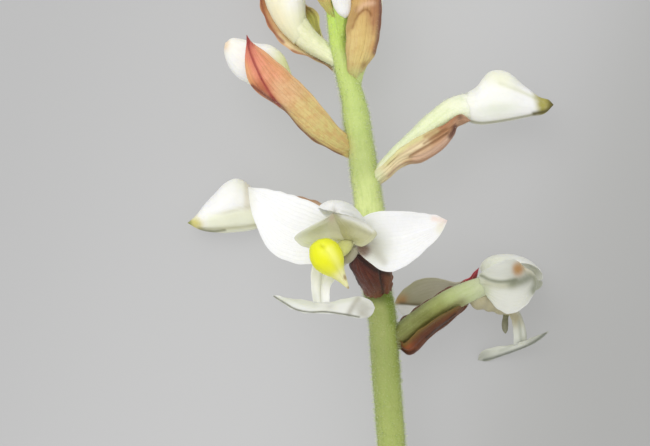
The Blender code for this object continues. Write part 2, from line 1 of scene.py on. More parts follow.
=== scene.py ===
import bpy
import numpy as np
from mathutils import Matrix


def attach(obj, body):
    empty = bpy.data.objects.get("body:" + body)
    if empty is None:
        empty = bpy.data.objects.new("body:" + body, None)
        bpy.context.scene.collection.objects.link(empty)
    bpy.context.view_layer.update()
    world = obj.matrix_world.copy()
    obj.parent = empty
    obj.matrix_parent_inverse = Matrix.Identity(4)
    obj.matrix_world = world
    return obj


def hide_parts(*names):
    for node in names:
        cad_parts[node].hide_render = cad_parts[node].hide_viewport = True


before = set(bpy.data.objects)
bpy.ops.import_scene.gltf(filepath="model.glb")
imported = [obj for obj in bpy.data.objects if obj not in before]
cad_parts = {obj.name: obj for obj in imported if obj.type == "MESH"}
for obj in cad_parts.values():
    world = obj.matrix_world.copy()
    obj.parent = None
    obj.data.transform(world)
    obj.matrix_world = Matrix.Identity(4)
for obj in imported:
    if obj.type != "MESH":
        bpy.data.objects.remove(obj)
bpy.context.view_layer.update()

# ---------------------------------------------------------------- the sheet that the shapes are drawn on
UNIT = 1e-4               # one sheet unit, 0.1 mm
EYE = 3500.0              # the eye is 350 mm above the stalk's axis
MIDDLE = (325.0, 223.0)
LIFT = 62.9
SHIFT = (-46.4, 2.6)


def at(points):
    """Sheet points (x right, y down, z towards the eye) as points in space, in tenths of a millimetre."""
    p = np.asarray(points, float)
    k = (EYE - p[..., 2]) / EYE
    return np.stack([(p[..., 0] - MIDDLE[0]) * k + SHIFT[0], (MIDDLE[1] - p[..., 1]) * k + SHIFT[1], p[..., 2] + LIFT], -1)


def sheet_of(p):
    """Where points in space show on the sheet."""
    k = (EYE - (p[..., 2] - LIFT)) / EYE
    return np.stack([(p[..., 0] - SHIFT[0]) / k + MIDDLE[0], MIDDLE[1] - (p[..., 1] - SHIFT[1]) / k], -1)


def unit(v):
    return v / np.maximum(np.linalg.norm(v, axis=-1, keepdims=True), 1e-12)


def along(points, u):
    """Points at the shares u of the length of one smooth curve through the given points."""
    p = np.asarray(points, float)
    if len(p) == 2:
        p = np.array([p[0], (p[0] + p[1]) / 2, p[1]])
    t = np.concatenate([[0], np.cumsum(np.linalg.norm(np.diff(p, axis=0), axis=1) ** 0.6)])
    m = np.gradient(p, t, axis=0)
    fine = [p[:1]]
    for i in range(len(p) - 1):
        s = np.linspace(0, 1, 33)[1:, None]
        d = t[i + 1] - t[i]
        fine.append((2 * s**3 - 3 * s**2 + 1) * p[i] + (s**3 - 2 * s**2 + s) * d * m[i]
                    + (3 * s**2 - 2 * s**3) * p[i + 1] + (s**3 - s**2) * d * m[i + 1])
    fine = np.concatenate(fine)
    far = np.concatenate([[0], np.cumsum(np.linalg.norm(np.diff(fine, axis=0), axis=1))])
    u = np.asarray(u, float) * far[-1]
    return np.stack([np.interp(u, far, fine[:, k]) for k in range(p.shape[1])], -1)


def smooth(u, pairs):
    """A number that changes smoothly along a length, through (share, value) pairs."""
    x, y = (np.array([q[i] for q in pairs], float) for i in range(2))
    m = np.gradient(y, x) if len(x) > 2 else np.full(2, (y[1] - y[0]) / (x[1] - x[0]))
    u = np.clip(np.asarray(u, float), x[0], x[-1])
    i = np.clip(np.searchsorted(x, u) - 1, 0, len(x) - 2)
    d = x[i + 1] - x[i]
    s = (u - x[i]) / d
    return ((2 * s**3 - 3 * s**2 + 1) * y[i] + (s**3 - 2 * s**2 + s) * d * m[i]
            + (3 * s**2 - 2 * s**3) * y[i + 1] + (s**3 - s**2) * d * m[i + 1])


def swell(u, v, seed, low=1.0, high=4.0, n=7):
    """A smooth irregular height between about -1 and 1, the same every time."""
    r = np.random.default_rng(seed)
    f = r.uniform(low, high, (n, 2)) * np.where(r.random((n, 2)) < 0.5, -1, 1)
    ph = r.uniform(0, 2 * np.pi, n)
    return sum(np.sin(2 * np.pi * (f[k, 0] * u + f[k, 1] * v) + ph[k]) for k in range(n)) / np.sqrt(n) / 1.2


def bell(x, w):
    return np.exp(-((x / w) ** 2))


def step(x, lo, hi):
    t = np.clip((x - lo) / (hi - lo), 0, 1)
    return t * t * (3 - 2 * t)


# ---------------------------------------------------------------- closed solids, with (u, v) for each corner
def leaf(left, middle, right, thick, nu=72, nv=36, both=False, relief=None, rim=3.0, tip=1.35, ragged=0.25, seed=1):
    """A sepal, petal or bract over three rails, with a relief on it and edges that wander a little."""
    s = np.linspace(0, 1, nu + 1)
    us = 0.5 - 0.5 * np.cos(np.pi * s) if both else 1 - (1 - s) ** tip
    vs = np.sin(np.linspace(-1, 1, nv + 1) * np.pi / 2) * 0.5 + np.linspace(-1, 1, nv + 1) * 0.5
    a, b, c = (along(at(r), us)[:, None, :] for r in (left, middle, right))
    v = vs[None, :, None]
    width = np.linalg.norm(c - a, axis=-1, keepdims=True)
    wander = [ragged * swell(us, us * 0 + k, seed + k, 2.0, 9.0)[:, None, None] / np.maximum(width, 6) * np.clip((1 - us) / 0.1, 0, 1)[:, None, None]
              for k in (0, 1)]
    a, c = b + (a - b) * (1 + wander[0] * 2), b + (c - b) * (1 + wander[1] * 2)
    p = a * v * (v - 1) / 2 + b * (1 - v * v) + c * v * (v + 1) / 2

    def facing(q):
        n = unit(np.cross(np.gradient(q, us, axis=0), np.gradient(q, vs, axis=1)))
        n[-1] = n[-2]
        if both:
            n[0] = n[1]
        return n

    n = facing(p)
    uu, vv = np.meshgrid(us, vs, indexing="ij")
    if relief is not None:
        fade = np.clip((1 - uu) / 0.05, 0, 1) * (np.clip(uu / 0.05, 0, 1) if both else 1)
        p = p + n * (relief(uu, vv) * fade)[..., None]
        n = facing(p)
    h = thick / 2 * np.sqrt(np.clip(1 - np.abs(vv) ** rim, 0, 1)) * np.sqrt(1 - uu**9) * (1 - 0.3 * uu**2) * (1 - 0.45 * step(uu, 0.9, 1.0))
    if both:
        h = thick / 2 * np.sqrt(np.clip(1 - np.abs(vv) ** rim, 0, 1)) * np.sqrt(1 - uu**7) * np.sqrt(1 - (1 - uu) ** 7)
    sides = p + n * h[..., None], p - n * h[..., None]
    points, uv, ids = [], [], {}

    def corner(side, i, j):
        pole, edge = i == nu or (both and i == 0), j in (0, nv)
        key = ("pole", i) if pole else ("edge", i, j) if edge else (side, i, j)
        if key not in ids:
            ids[key] = len(points)
            points.append(p[i, nv // 2] if pole else p[i, j] if edge else sides[side][i, j])
            uv.append((us[i], 0.5 if pole else vs[j] / 2 + 0.5))
        return ids[key]

    faces = []
    for side in (0, 1):
        for i in range(nu):
            for j in range(nv):
                q = [corner(side, i, j), corner(side, i + 1, j), corner(side, i + 1, j + 1), corner(side, i, j + 1)]
                q = [x for k, x in enumerate(q) if x != q[k - 1]]
                if len(q) > 2:
                    faces.append(q if side == 0 else q[::-1])
    if not both:
        for j in range(nv):
            q = [corner(0, 0, j), corner(0, 0, j + 1), corner(1, 0, j + 1), corner(1, 0, j)]
            faces.append([x for k, x in enumerate(q) if x != q[k - 1]])
    return Shape(points, faces, uv)


def rings(rows, start, end, us, vs):
    n = rows.shape[1]
    points = list(rows.reshape(-1, 3))
    uv = [(u, v) for u in us for v in vs]
    faces = [[i * n + j, i * n + (j + 1) % n, (i + 1) * n + (j + 1) % n, (i + 1) * n + j]
             for i in range(len(rows) - 1) for j in range(n)]
    for row, pole, turned in ((0, start, True), (len(rows) - 1, end, False)):
        k = len(points)
        points.append(rows[row].mean(0) if pole is None else pole)
        uv.append((us[row], 0.5))
        for j in range(n):
            f = [row * n + j, row * n + (j + 1) % n, k]
            faces.append(f[::-1] if turned else f)
    return Shape(points, faces, uv)


def frames(path):
    d = unit(np.gradient(path, axis=0))
    first = np.cross(d[0], (0.0, 0.0, 1.0))
    if np.linalg.norm(first) < 0.2:
        first = np.cross(d[0], (1.0, 0.0, 0.0))
    a = [unit(first)]
    for i in range(1, len(d)):
        a.append(unit(a[-1] - d[i] * (a[-1] @ d[i])))
    return d, np.array(a), np.cross(d, np.array(a))


def tube(path, radius, nu=60, n=40, flat=1.0, turn=0.0, start=False, end=False, shape=None, grow=0.0):
    """A stalk, an ovary or a small bud. shape(share of length, angle) swells it."""
    s = np.linspace(0, 1, nu + 1)
    if start and end:
        s = (0.5 - 0.5 * np.cos(np.pi * s))
    elif end:
        s = np.sin(s * np.pi / 2) * 0.7 + s * 0.3
    path = at(path)
    first, last = along(path, [0, 1])
    s = s[1 if start else 0: nu if end else nu + 1]
    c = along(path, s)
    d, a, b = frames(c)
    th = np.linspace(0, 2 * np.pi, n, endpoint=False)[None, :, None]
    r = (smooth(s, radius) + grow)[:, None, None] * (1 if shape is None else shape(s[:, None], th[:, :, 0])[..., None])
    k = np.radians(turn)
    x, y = np.cos(th), np.sin(th) * flat
    rows = c[:, None, :] + r * (a[:, None, :] * (x * np.cos(k) - y * np.sin(k)) + b[:, None, :] * (x * np.sin(k) + y * np.cos(k)))
    return rings(rows, first if start else None, last if end else None, s, np.linspace(0, 1, n, endpoint=False))


def pod(top, bottom, half, nu=72, n=64, middle=0.5, shape=None):
    """A closed bud between its upper and its lower outline, with a half width to each side."""
    s = np.linspace(0, 1, nu + 1)[:-1]
    s = np.sin(s * np.pi / 2) * 0.72 + s * 0.28
    t, b, end = along(at(top), s), along(at(bottom), s), at(top[-1])
    c = b + (t - b) * middle
    d = unit(np.gradient(np.concatenate([c, end[None]]), axis=0))[:-1]
    up = unit((t - b) - d * np.sum((t - b) * d, -1, keepdims=True))
    w = unit(np.cross(up, d)) * smooth(s, half)[:, None]
    th = np.linspace(0, 2 * np.pi, n, endpoint=False)[None, :, None]
    co, si = np.cos(th), np.sin(th)
    rise = np.where(si > 0, (t - c)[:, None, :], (c - b)[:, None, :])
    k = 1 if shape is None else shape(s[:, None], th[:, :, 0])[..., None]
    rows = c[:, None, :] + (w[:, None, :] * co + rise * si) * k
    return rings(rows, None, end, s, np.linspace(0, 1, n, endpoint=False))


class Shape:
    """A closed solid: points in sheet units, faces, (u, v) for each point, and named marks from 0 to 1."""

    def __init__(self, points, faces, uv):
        self.p, self.f, self.uv, self.marks, self.t = np.array(points, float), faces, np.array(uv, float), {}, None

    def triangles(self):
        if self.t is None:
            self.t = np.array([[f[0], f[k], f[k + 1]] for f in self.f for k in range(1, len(f) - 1)])
        return self.t

    def normals(self):
        t = self.triangles()
        c = np.cross(self.p[t[:, 1]] - self.p[t[:, 0]], self.p[t[:, 2]] - self.p[t[:, 0]])
        return unit(np.stack([np.bincount(t.ravel(), np.repeat(c[:, k], 3), len(self.p)) for k in range(3)], -1))

    def up(self, lo=-0.15, hi=0.15):
        """1 where the skin faces the eye."""
        return step(self.normals()[:, 2], lo, hi)

    def line(self, points, width, end_width=None, upper=True):
        """1 on a smooth line over the sheet, falling off to 0 to both sides of it."""
        q = along(np.array(points, float), np.linspace(0, 1, 80))
        xy = sheet_of(self.p)
        a, b = q[:-1][None], q[1:][None]
        ab = b - a
        t = np.clip(((xy[:, None] - a) * ab).sum(-1) / np.maximum((ab**2).sum(-1), 1e-9), 0, 1)
        gap = np.linalg.norm(xy[:, None] - (a + ab * t[..., None]), axis=-1)
        k = gap.argmin(1)
        w = width if end_width is None else width + (end_width - width) * k / (len(q) - 2)
        return bell(gap[np.arange(len(xy)), k], w) * (self.up() if upper else 1)

    def oval(self, x, y, rx, ry=None, turn=0.0, hard=1.0, upper=True):
        """1 in an oval patch over the sheet, with a soft edge."""
        ry = rx if ry is None else ry
        d = sheet_of(self.p) - (x, y)
        k = np.radians(turn)
        e = np.stack([d[:, 0] * np.cos(k) + d[:, 1] * np.sin(k), -d[:, 0] * np.sin(k) + d[:, 1] * np.cos(k)], -1) / (rx, ry)
        return np.exp(-((e**2).sum(-1) ** hard)) * (self.up() if upper else 1)

    def side(self, a, b, soft, upper=True):
        """1 to the right of the way from a to b over the sheet, as seen by the eye."""
        a, b = np.array(a, float), np.array(b, float)
        d = (b - a) / np.linalg.norm(b - a)
        xy = sheet_of(self.p) - a
        return step(d[0] * xy[:, 1] - d[1] * xy[:, 0], -soft, soft) * (self.up() if upper else 1)

    def mark(self, name, value):
        value = np.clip(value, 0, 1)
        self.marks[name] = np.maximum(self.marks.get(name, 0), value)
        return self

    def carve(self, mask, depth):
        """Sinks the skin by depth where the mask is 1, or raises it where depth is below 0."""
        self.p = self.p - self.normals() * (mask * depth)[:, None]
        return self


def merged(*shapes):
    p, f, uv, k = [], [], [], 0
    for s in shapes:
        p.append(s.p)
        f += [[x + k for x in g] for g in s.f]
        uv.append(s.uv)
        k += len(s.p)
    return Shape(np.concatenate(p), f, np.concatenate(uv))


# ---------------------------------------------------------------- materials
def rgb(r, g, b):
    """A linear colour from 0 to 255 values."""
    return tuple(((c / 255 + 0.055) / 1.055) ** 2.4 if c > 10 else c / 255 / 12.92 for c in (r, g, b)) + (1.0,)


class Nodes:
    """Short hands for one material's nodes."""

    def __init__(self, name, roughness, skin=0.0, depth=0.0006, coat=0.0, sheen=0.0, shine=0.35):
        self.m = bpy.data.materials.new(name)
        self.m.use_nodes = True
        self.t = self.m.node_tree
        self.b = next(n for n in self.t.nodes if n.type == "BSDF_PRINCIPLED")
        self.b.inputs["Roughness"].default_value = roughness
        self.b.inputs["Specular IOR Level"].default_value = shine
        if skin:
            self.b.inputs["Subsurface Weight"].default_value = skin
            self.b.inputs["Subsurface Radius"].default_value = (1.0, 0.95, 0.7)
            self.b.inputs["Subsurface Scale"].default_value = depth
        if coat:
            self.b.inputs["Coat Weight"].default_value = coat
            self.b.inputs["Coat Roughness"].default_value = 0.25
        if sheen:
            self.b.inputs["Sheen Weight"].default_value = sheen
            self.b.inputs["Sheen Roughness"].default_value = 0.4
        self.c = self.t.nodes.new("ShaderNodeTexCoord")
        uv = self.t.nodes.new("ShaderNodeUVMap")
        uv.uv_map = "along"
        split = self.t.nodes.new("ShaderNodeSeparateXYZ")
        self.t.links.new(uv.outputs[0], split.inputs[0])
        self.u, self.v = split.outputs[0], split.outputs[1]

    def math(self, op, a, b=None, c=None, clamp=False):
        n = self.t.nodes.new("ShaderNodeMath")
        n.operation, n.use_clamp = op, clamp
        for k, x in enumerate((a, b, c)):
            if x is None:
                continue
            if isinstance(x, (int, float)):
                n.inputs[k].default_value = x
            else:
                self.t.links.new(x, n.inputs[k])
        return n.outputs[0]

    def mark(self, name):
        n = self.t.nodes.new("ShaderNodeAttribute")
        n.attribute_name = name
        return n.outputs["Fac"]

    def noise(self, scale, detail=3.0, rough=0.55, stretch=None, offset=(0, 0, 0)):
        """Noise in object space, with scale as patches a metre."""
        n = self.t.nodes.new("ShaderNodeTexNoise")
        n.inputs["Scale"].default_value = 1.0
        n.inputs["Detail"].default_value = detail
        n.inputs["Roughness"].default_value = rough
        m = self.t.nodes.new("ShaderNodeMapping")
        m.inputs["Scale"].default_value = (scale, scale, scale) if stretch is None else tuple(scale * s for s in stretch)
        m.inputs["Location"].default_value = offset
        self.t.links.new(self.c.outputs["Object"], m.inputs[0])
        self.t.links.new(m.outputs[0], n.inputs["Vector"])
        return n.outputs["Fac"]

    def grain(self, lines, along_scale=6.0, detail=3.0):
        """Noise drawn out along the piece's length, as fibres are."""
        m = self.t.nodes.new("ShaderNodeCombineXYZ")
        self.t.links.new(self.math("MULTIPLY", self.u, along_scale), m.inputs[0])
        self.t.links.new(self.math("MULTIPLY", self.v, lines), m.inputs[1])
        n = self.t.nodes.new("ShaderNodeTexNoise")
        n.inputs["Scale"].default_value = 1.0
        n.inputs["Detail"].default_value = detail
        self.t.links.new(m.outputs[0], n.inputs["Vector"])
        return n.outputs["Fac"]

    def cells(self, scale):
        n = self.t.nodes.new("ShaderNodeTexVoronoi")
        n.inputs["Scale"].default_value = scale
        self.t.links.new(self.c.outputs["Object"], n.inputs["Vector"])
        return n.outputs["Distance"]

    def ramp(self, fac, stops, kind="EASE"):
        n = self.t.nodes.new("ShaderNodeValToRGB")
        n.color_ramp.interpolation = kind
        e = n.color_ramp.elements
        while len(e) > len(stops):
            e.remove(e[-1])
        while len(e) < len(stops):
            e.new(1.0)
        for k, (x, col) in enumerate(stops):
            e[k].position = x
            e[k].color = (col, col, col, 1.0) if isinstance(col, (int, float)) else rgb(*col)
        self.t.links.new(fac, n.inputs[0])
        return n.outputs[0]

    def mix(self, fac, a, b, kind="MIX"):
        n = self.t.nodes.new("ShaderNodeMix")
        n.data_type, n.blend_type = "RGBA", kind
        for k, x in ((0, fac), (6, a), (7, b)):
            if isinstance(x, (int, float)):
                n.inputs[k].default_value = x
            elif isinstance(x, tuple):
                n.inputs[k].default_value = rgb(*x)
            else:
                self.t.links.new(x, n.inputs[k])
        return n.outputs[2]

    def wobble(self, value, noise, amount):
        """value moved by a noise, so that no border between colours is straight."""
        return self.math("ADD", value, self.math("MULTIPLY", self.math("SUBTRACT", noise, 0.5), amount))

    def across(self, wob=None, amount=0.0):
        """0 on the midrib and 1 on both edges."""
        v = self.v if wob is None else self.wobble(self.v, wob, amount)
        return self.math("ABSOLUTE", self.math("MULTIPLY_ADD", v, 2.0, -1.0))

    def bump(self, height, distance, strength=1.0, normal=None):
        n = self.t.nodes.new("ShaderNodeBump")
        n.inputs["Distance"].default_value = distance
        n.inputs["Strength"].default_value = strength
        self.t.links.new(height, n.inputs["Height"])
        if normal is not None:
            self.t.links.new(normal, n.inputs["Normal"])
        return n.outputs[0]

    def marks(self, col, marks, noise):
        """Lays coloured marks on a colour: (name, colour, how much, how ragged)."""
        for name, colour, most, rag in marks:
            m = self.mark(name)
            if rag:
                m = self.math("MULTIPLY", m, self.math("MULTIPLY_ADD", noise, 2.0 * rag, 1.0 - rag, clamp=False), clamp=True)
            col = self.mix(self.math("MULTIPLY", m, most), col, colour)
        return col

    def done(self, colour, normal=None, rough=None):
        self.t.links.new(colour, self.b.inputs["Base Color"])
        if normal is not None:
            self.t.links.new(normal, self.b.inputs["Normal"])
        if rough is not None:
            self.t.links.new(rough, self.b.inputs["Roughness"])
        return self.m


def petal_skin(name, stops, marks=(), edge=None, rib=None, veins=0.10, vein_colour=(206, 210, 190), skin=0.3, rough=0.42,
               count=15.0, depth=0.0006, mottle=((214, 214, 202), 0.08)):
    """A sepal's or petal's skin: colours along its length, faint veins, and the fine glitter of its cells."""
    k = Nodes(name, rough, skin, depth)
    broad, fine = k.noise(420, 3), k.noise(2600, 4)
    col = k.ramp(k.wobble(k.u, broad, 0.10), stops)
    a = k.across(fine, 0.02)
    if edge is not None:
        start, colour, most = edge
        col = k.mix(k.math("MULTIPLY", k.ramp(a, [(start, 0.0), (1.0, 1.0)]), most), col, colour)
    line = k.math("SINE", k.math("MULTIPLY", k.wobble(k.v, k.noise(700, 2), 0.05), count * 6.2832))
    line = k.ramp(k.math("MULTIPLY_ADD", line, 0.5, 0.5), [(0.70, 0.0), (1.0, 1.0)])
    show = k.math("MULTIPLY", k.math("MULTIPLY", line, veins), k.ramp(k.u, [(0.0, 1.0), (0.75, 0.7), (1.0, 0.2)]))
    col = k.mix(show, col, vein_colour)
    if rib is not None:
        width, colour, most = rib
        col = k.mix(k.math("MULTIPLY", k.ramp(a, [(0.0, 1.0), (width, 0.0)]), most), col, colour)
    col = k.mix(k.math("MULTIPLY", k.ramp(fine, [(0.3, 1.0), (0.7, 0.0)]), mottle[1]), col, mottle[0])
    col = k.marks(col, marks, k.noise(1700, 4, 0.6))
    n = k.bump(k.cells(6500), 0.00002, 0.35)
    n = k.bump(line, 0.00003, 0.35, n)
    n = k.bump(broad, 0.0003, 0.10, n)
    return k.done(col, n, k.ramp(fine, [(0.2, rough - 0.08), (0.8, rough + 0.12)]))


def bract_skin(name, stops, marks=(), edge=None, rib=None, mottle=((150, 95, 60), 0.30), rough=0.6, lines=9.0, dark=(120, 68, 44),
               fibre=0.3, skin=0.12, light=(236, 200, 160), vein=0.10):
    """A bract's papery, downy skin, with lengthwise veins, fibres and mottling."""
    k = Nodes(name, rough, skin, 0.0005, sheen=0.12)
    broad, fine = k.noise(600, 4, 0.6), k.noise(3200, 5, 0.65)
    col = k.ramp(k.wobble(k.u, broad, 0.14), stops)
    patch = k.ramp(k.noise(1300, 5, 0.65, offset=(3.1, 1.7, 0.4)), [(0.42, 0.0), (0.62, 1.0)])
    col = k.mix(k.math("MULTIPLY", patch, mottle[1]), col, mottle[0])
    g = k.grain(lines * 3.0, 5.0)
    col = k.mix(k.math("MULTIPLY", k.ramp(g, [(0.50, 0.0), (0.72, 1.0)]), fibre), col, dark)
    col = k.mix(k.math("MULTIPLY", k.ramp(g, [(0.28, 1.0), (0.45, 0.0)]), fibre * 0.7), col, light)
    line = k.math("SINE", k.math("MULTIPLY", k.wobble(k.v, k.noise(500, 2), 0.06), lines * 6.2832))
    line = k.ramp(k.math("MULTIPLY_ADD", line, 0.5, 0.5), [(0.66, 0.0), (1.0, 1.0)])
    col = k.mix(k.math("MULTIPLY", line, vein), col, dark)
    a = k.across(fine, 0.03)
    if edge is not None:
        start, colour, most = edge
        col = k.mix(k.math("MULTIPLY", k.ramp(a, [(start, 0.0), (1.0, 1.0)]), most), col, colour)
    if rib is not None:
        width, colour, most = rib
        col = k.mix(k.math("MULTIPLY", k.ramp(a, [(0.0, 1.0), (width, 0.0)]), most), col, colour)
    col = k.mix(k.math("MULTIPLY", k.ramp(fine, [(0.35, 0.0), (0.75, 1.0)]), 0.10), col, light)
    col = k.marks(col, marks, k.noise(1500, 4, 0.6))
    n = k.bump(fine, 0.00006, 0.45)
    n = k.bump(g, 0.00008, 0.45, n)
    n = k.bump(line, 0.00005, 0.5, n)
    n = k.bump(k.cells(5200), 0.00004, 0.35, n)
    return k.done(col, n, k.ramp(fine, [(0.2, rough - 0.1), (0.8, rough + 0.12)]))


def green_skin(name, stops, marks=(), by_length=True, speck=((232, 238, 200), 0.35), rough=0.55, skin=0.15, line_colour=((148, 178, 84), 0.3), span=(0, 1)):
    """A downy stalk's or ovary's skin: colours along it, pale specks where the hairs stand, fine lengthwise lines."""
    k = Nodes(name, rough, skin, 0.0005, sheen=0.2)
    broad = k.noise(380, 3)
    col = k.ramp(k.wobble(k.u, broad, 0.05), stops)
    g = k.grain(26.0, 40.0 if not by_length else 8.0)
    col = k.mix(k.math("MULTIPLY", k.ramp(g, [(0.46, 0.0), (0.66, 1.0)]), line_colour[1]), col, line_colour[0])
    patch = k.ramp(k.noise(1500, 5, 0.65), [(0.45, 0.0), (0.65, 1.0)])
    col = k.mix(k.math("MULTIPLY", patch, line_colour[1] * 0.7), col, line_colour[0])
    dots = k.ramp(k.cells(3800), [(0.0, 1.0), (0.36, 0.0)])
    col = k.mix(k.math("MULTIPLY", dots, speck[1]), col, speck[0])
    col = k.marks(col, marks, k.noise(1500, 4, 0.6))
    n = k.bump(k.cells(4200), 0.00007, 0.5)
    n = k.bump(g, 0.0001, 0.35, n)
    return k.done(col, n, k.ramp(broad, [(0.2, rough - 0.08), (0.8, rough + 0.1)]))


def hair_skin(name, colour, root):
    k = Nodes(name, 0.45, 0.0)
    col = k.ramp(k.wobble(k.u, k.noise(2500, 2), 0.5), [(0.0, root), (0.6, colour), (1.0, (250, 250, 240))])
    return k.done(col)


# ---------------------------------------------------------------- pieces
def piece(name, shape, mat, nodes, sharp=60):
    mesh = bpy.data.meshes.new(name)
    mesh.from_pydata((shape.p * UNIT).tolist(), [], shape.f)
    mesh.update()
    layer = mesh.uv_layers.new(name="along")
    loops = np.empty(len(mesh.loops), np.int32)
    mesh.loops.foreach_get("vertex_index", loops)
    flat = shape.uv[loops].astype(np.float32)
    counts = np.empty(len(mesh.polygons), np.int32)
    mesh.polygons.foreach_get("loop_total", counts)
    owner = np.repeat(np.arange(len(counts)), counts)
    hi, lo = np.full(len(counts), -1.0), np.full(len(counts), 2.0)
    np.maximum.at(hi, owner, flat[:, 1])
    np.minimum.at(lo, owner, flat[:, 1])
    flat[:, 1] = np.where(((hi - lo)[owner] > 0.6) & (flat[:, 1] < 0.3), flat[:, 1] + 1.0, flat[:, 1])
    layer.data.foreach_set("uv", flat.ravel())
    for key, value in shape.marks.items():
        mesh.attributes.new(key, "FLOAT", "POINT").data.foreach_set("value", np.asarray(value, np.float32))
    mesh.shade_smooth()
    if sharp:
        mesh.set_sharp_from_angle(angle=np.radians(sharp))
    mesh.materials.append(mat)
    obj = bpy.data.objects.new(name, mesh)
    bpy.context.scene.collection.objects.link(obj)
    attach(obj, "root")
    if nodes:
        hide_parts(*nodes)
    return obj


def hairs(name, shape, count, length, radius, mat, seed, lean=(0, 0, 0), keep=None, bend=0.35):
    """Fine tapering hairs that stand on a solid's skin, each a closed bent spike."""
    tri = shape.triangles()
    a, b, c = shape.p[tri[:, 0]], shape.p[tri[:, 1]], shape.p[tri[:, 2]]
    cross = np.cross(b - a, c - a)
    area = np.linalg.norm(cross, axis=1) * (1 - 0.96 * np.clip(unit(cross)[:, 2], 0, 1)) * (1 - 0.5 * np.clip(-unit(cross)[:, 2], 0, 1))
    if keep is not None:
        area = area * keep(shape.uv[tri].mean(1), sheet_of((a + b + c) / 3), unit(cross))
    r = np.random.default_rng(seed)
    pick = r.choice(len(tri), size=count, p=area / area.sum())
    w = r.random((count, 2))
    w = np.where(w.sum(1, keepdims=True) > 1, 1 - w, w)
    foot = a[pick] + (b - a)[pick] * w[:, :1] + (c - a)[pick] * w[:, 1:]
    out = unit(unit(cross[pick]) + np.array(lean) + r.normal(0, 0.28, (count, 3)))
    side = unit(np.cross(out, r.normal(0, 1, (count, 3))))
    third = np.cross(out, side)
    tall = length * r.uniform(0.5, 1.25, count)[:, None]
    thick = radius * r.uniform(0.8, 1.2, count)[:, None]
    droop = side * tall * bend * r.uniform(0.2, 1.0, count)[:, None]
    base, mid, tip = foot - out * 0.8, foot + out * tall * 0.55 + droop * 0.3, foot + out * tall + droop
    above = np.minimum(np.minimum(base[:, 2], mid[:, 2]), tip[:, 2]) > 0.5
    base, mid, tip, side, third, thick = (q[above] for q in (base, mid, tip, side, third, thick))
    count = int(above.sum())
    ring = [(side * np.cos(2 * np.pi * k / 3) + third * np.sin(2 * np.pi * k / 3)) * thick for k in range(3)]
    p = np.stack([base + q for q in ring] + [mid + q * 0.6 for q in ring] + [tip], 1).reshape(-1, 3)
    i = np.arange(count)[:, None] * 7
    quads = np.stack([np.concatenate([i + k, i + (k + 1) % 3, i + 3 + (k + 1) % 3, i + 3 + k], 1) for k in range(3)], 1).reshape(-1, 4)
    caps = np.stack([np.concatenate([i + 3 + k, i + 3 + (k + 1) % 3, i + 6], 1) for k in range(3)]
                    + [np.concatenate([i + 2, i + 1, i], 1)], 1).reshape(-1, 3)
    uv = np.tile(np.array([(0, 0.5)] * 3 + [(0.55, 0.5)] * 3 + [(1, 0.5)]), (count, 1))
    return piece(name, Shape(p, quads.tolist() + caps.tolist(), uv), mat, (), 0)


def sepal_relief(seed, groove=0.6, wave=0.8, vein=0.12, count=7):
    return lambda u, v: (wave * swell(u, v * 0.5, seed, 0.5, 1.6) * np.clip(u / 0.15, 0, 1) - groove * bell(v, 0.07) * (1 - u) ** 0.5
                         + vein * np.cos(2 * np.pi * count * v) * (1 - u))


HAIR_PALE = hair_skin("downy_hairs_pale", (240, 244, 222), (206, 222, 150))
HAIR_GREEN = hair_skin("downy_hairs_green", (226, 236, 190), (180, 205, 110))
HAIR_BRACT = hair_skin("downy_hairs_bract", (238, 214, 190), (190, 130, 95))
HAIR_DARK = hair_skin("downy_hairs_dark", (150, 104, 76), (104, 62, 44))

# ---------------------------------------------------------------- the stalk
STALK_PATH = [(310, -146, -45), (315, -118, -33), (322, -80, -19), (329, -30, -6), (336, 14, -1), (339, 43, 0),
              (345, 71, 0), (353, 100, 0), (357.5, 128, 0), (364, 171, 0), (369, 206, 0), (376.5, 284, 0),
              (382, 313, 0), (385, 356, 0), (388, 398, 0), (391.5, 446, -2), (395, 500, -9), (399, 560, -24),
              (402, 610, -40), (404, 645, -50.6)]
STALK_RADIUS = [(0, 3.4), (0.08, 5.4), (0.15, 7), (0.20, 9), (0.27, 9.6), (0.305, 11), (0.34, 13), (0.375, 13.2),
                (0.43, 14.0), (0.5, 14.2), (0.56, 13.7), (0.65, 13.9), (0.73, 13.7), (0.79, 13.5), (0.9, 13.2), (1, 13.0)]
stalk = tube(STALK_PATH, STALK_RADIUS, 420, 56,
             shape=lambda s, t: 1 + 0.014 * np.cos(5 * t + 9 * s) + 0.012 * np.cos(3 * t - 14 * s + 1) + 0.010 * swell(s * 9, t / 6.283, 4, 1, 3))
xy = sheet_of(stalk.p)
stalk.mark("shade_right", step(xy[:, 0] - np.interp(xy[:, 1], [-150, 14, 71, 171, 206, 313, 446, 645], [311, 336, 345, 364, 369, 382, 391.5, 404]), 3, 13))
# painted shade: the stalk grows darker below the front flower
stalk.mark("low", step(xy[:, 1], 230, 330))
# painted shade: the stalk is darkened just below the front flower's bract, where the bract shades it, and down its
# right edge there
stalk.mark("shade_below_bract", step(xy[:, 1], 286, 293) * step(xy[:, 1], 309, 296) * stalk.up(0.0, 0.5))
stalk.mark("shade_below_bract_right", stalk.line([(388, 292), (390.5, 308), (392, 322)], 6.5, 3.5) * step(xy[:, 1], 284, 292) * 0.8)
stalk.mark("margin", stalk.line([(396, 328), (398.5, 350), (399.5, 374)], 6.0))
stalk.mark("tan", stalk.oval(347, 146, 6, 11, -15))
stalk.mark("base", stalk.line([(396, 640), (412, 646)], 8, upper=False))
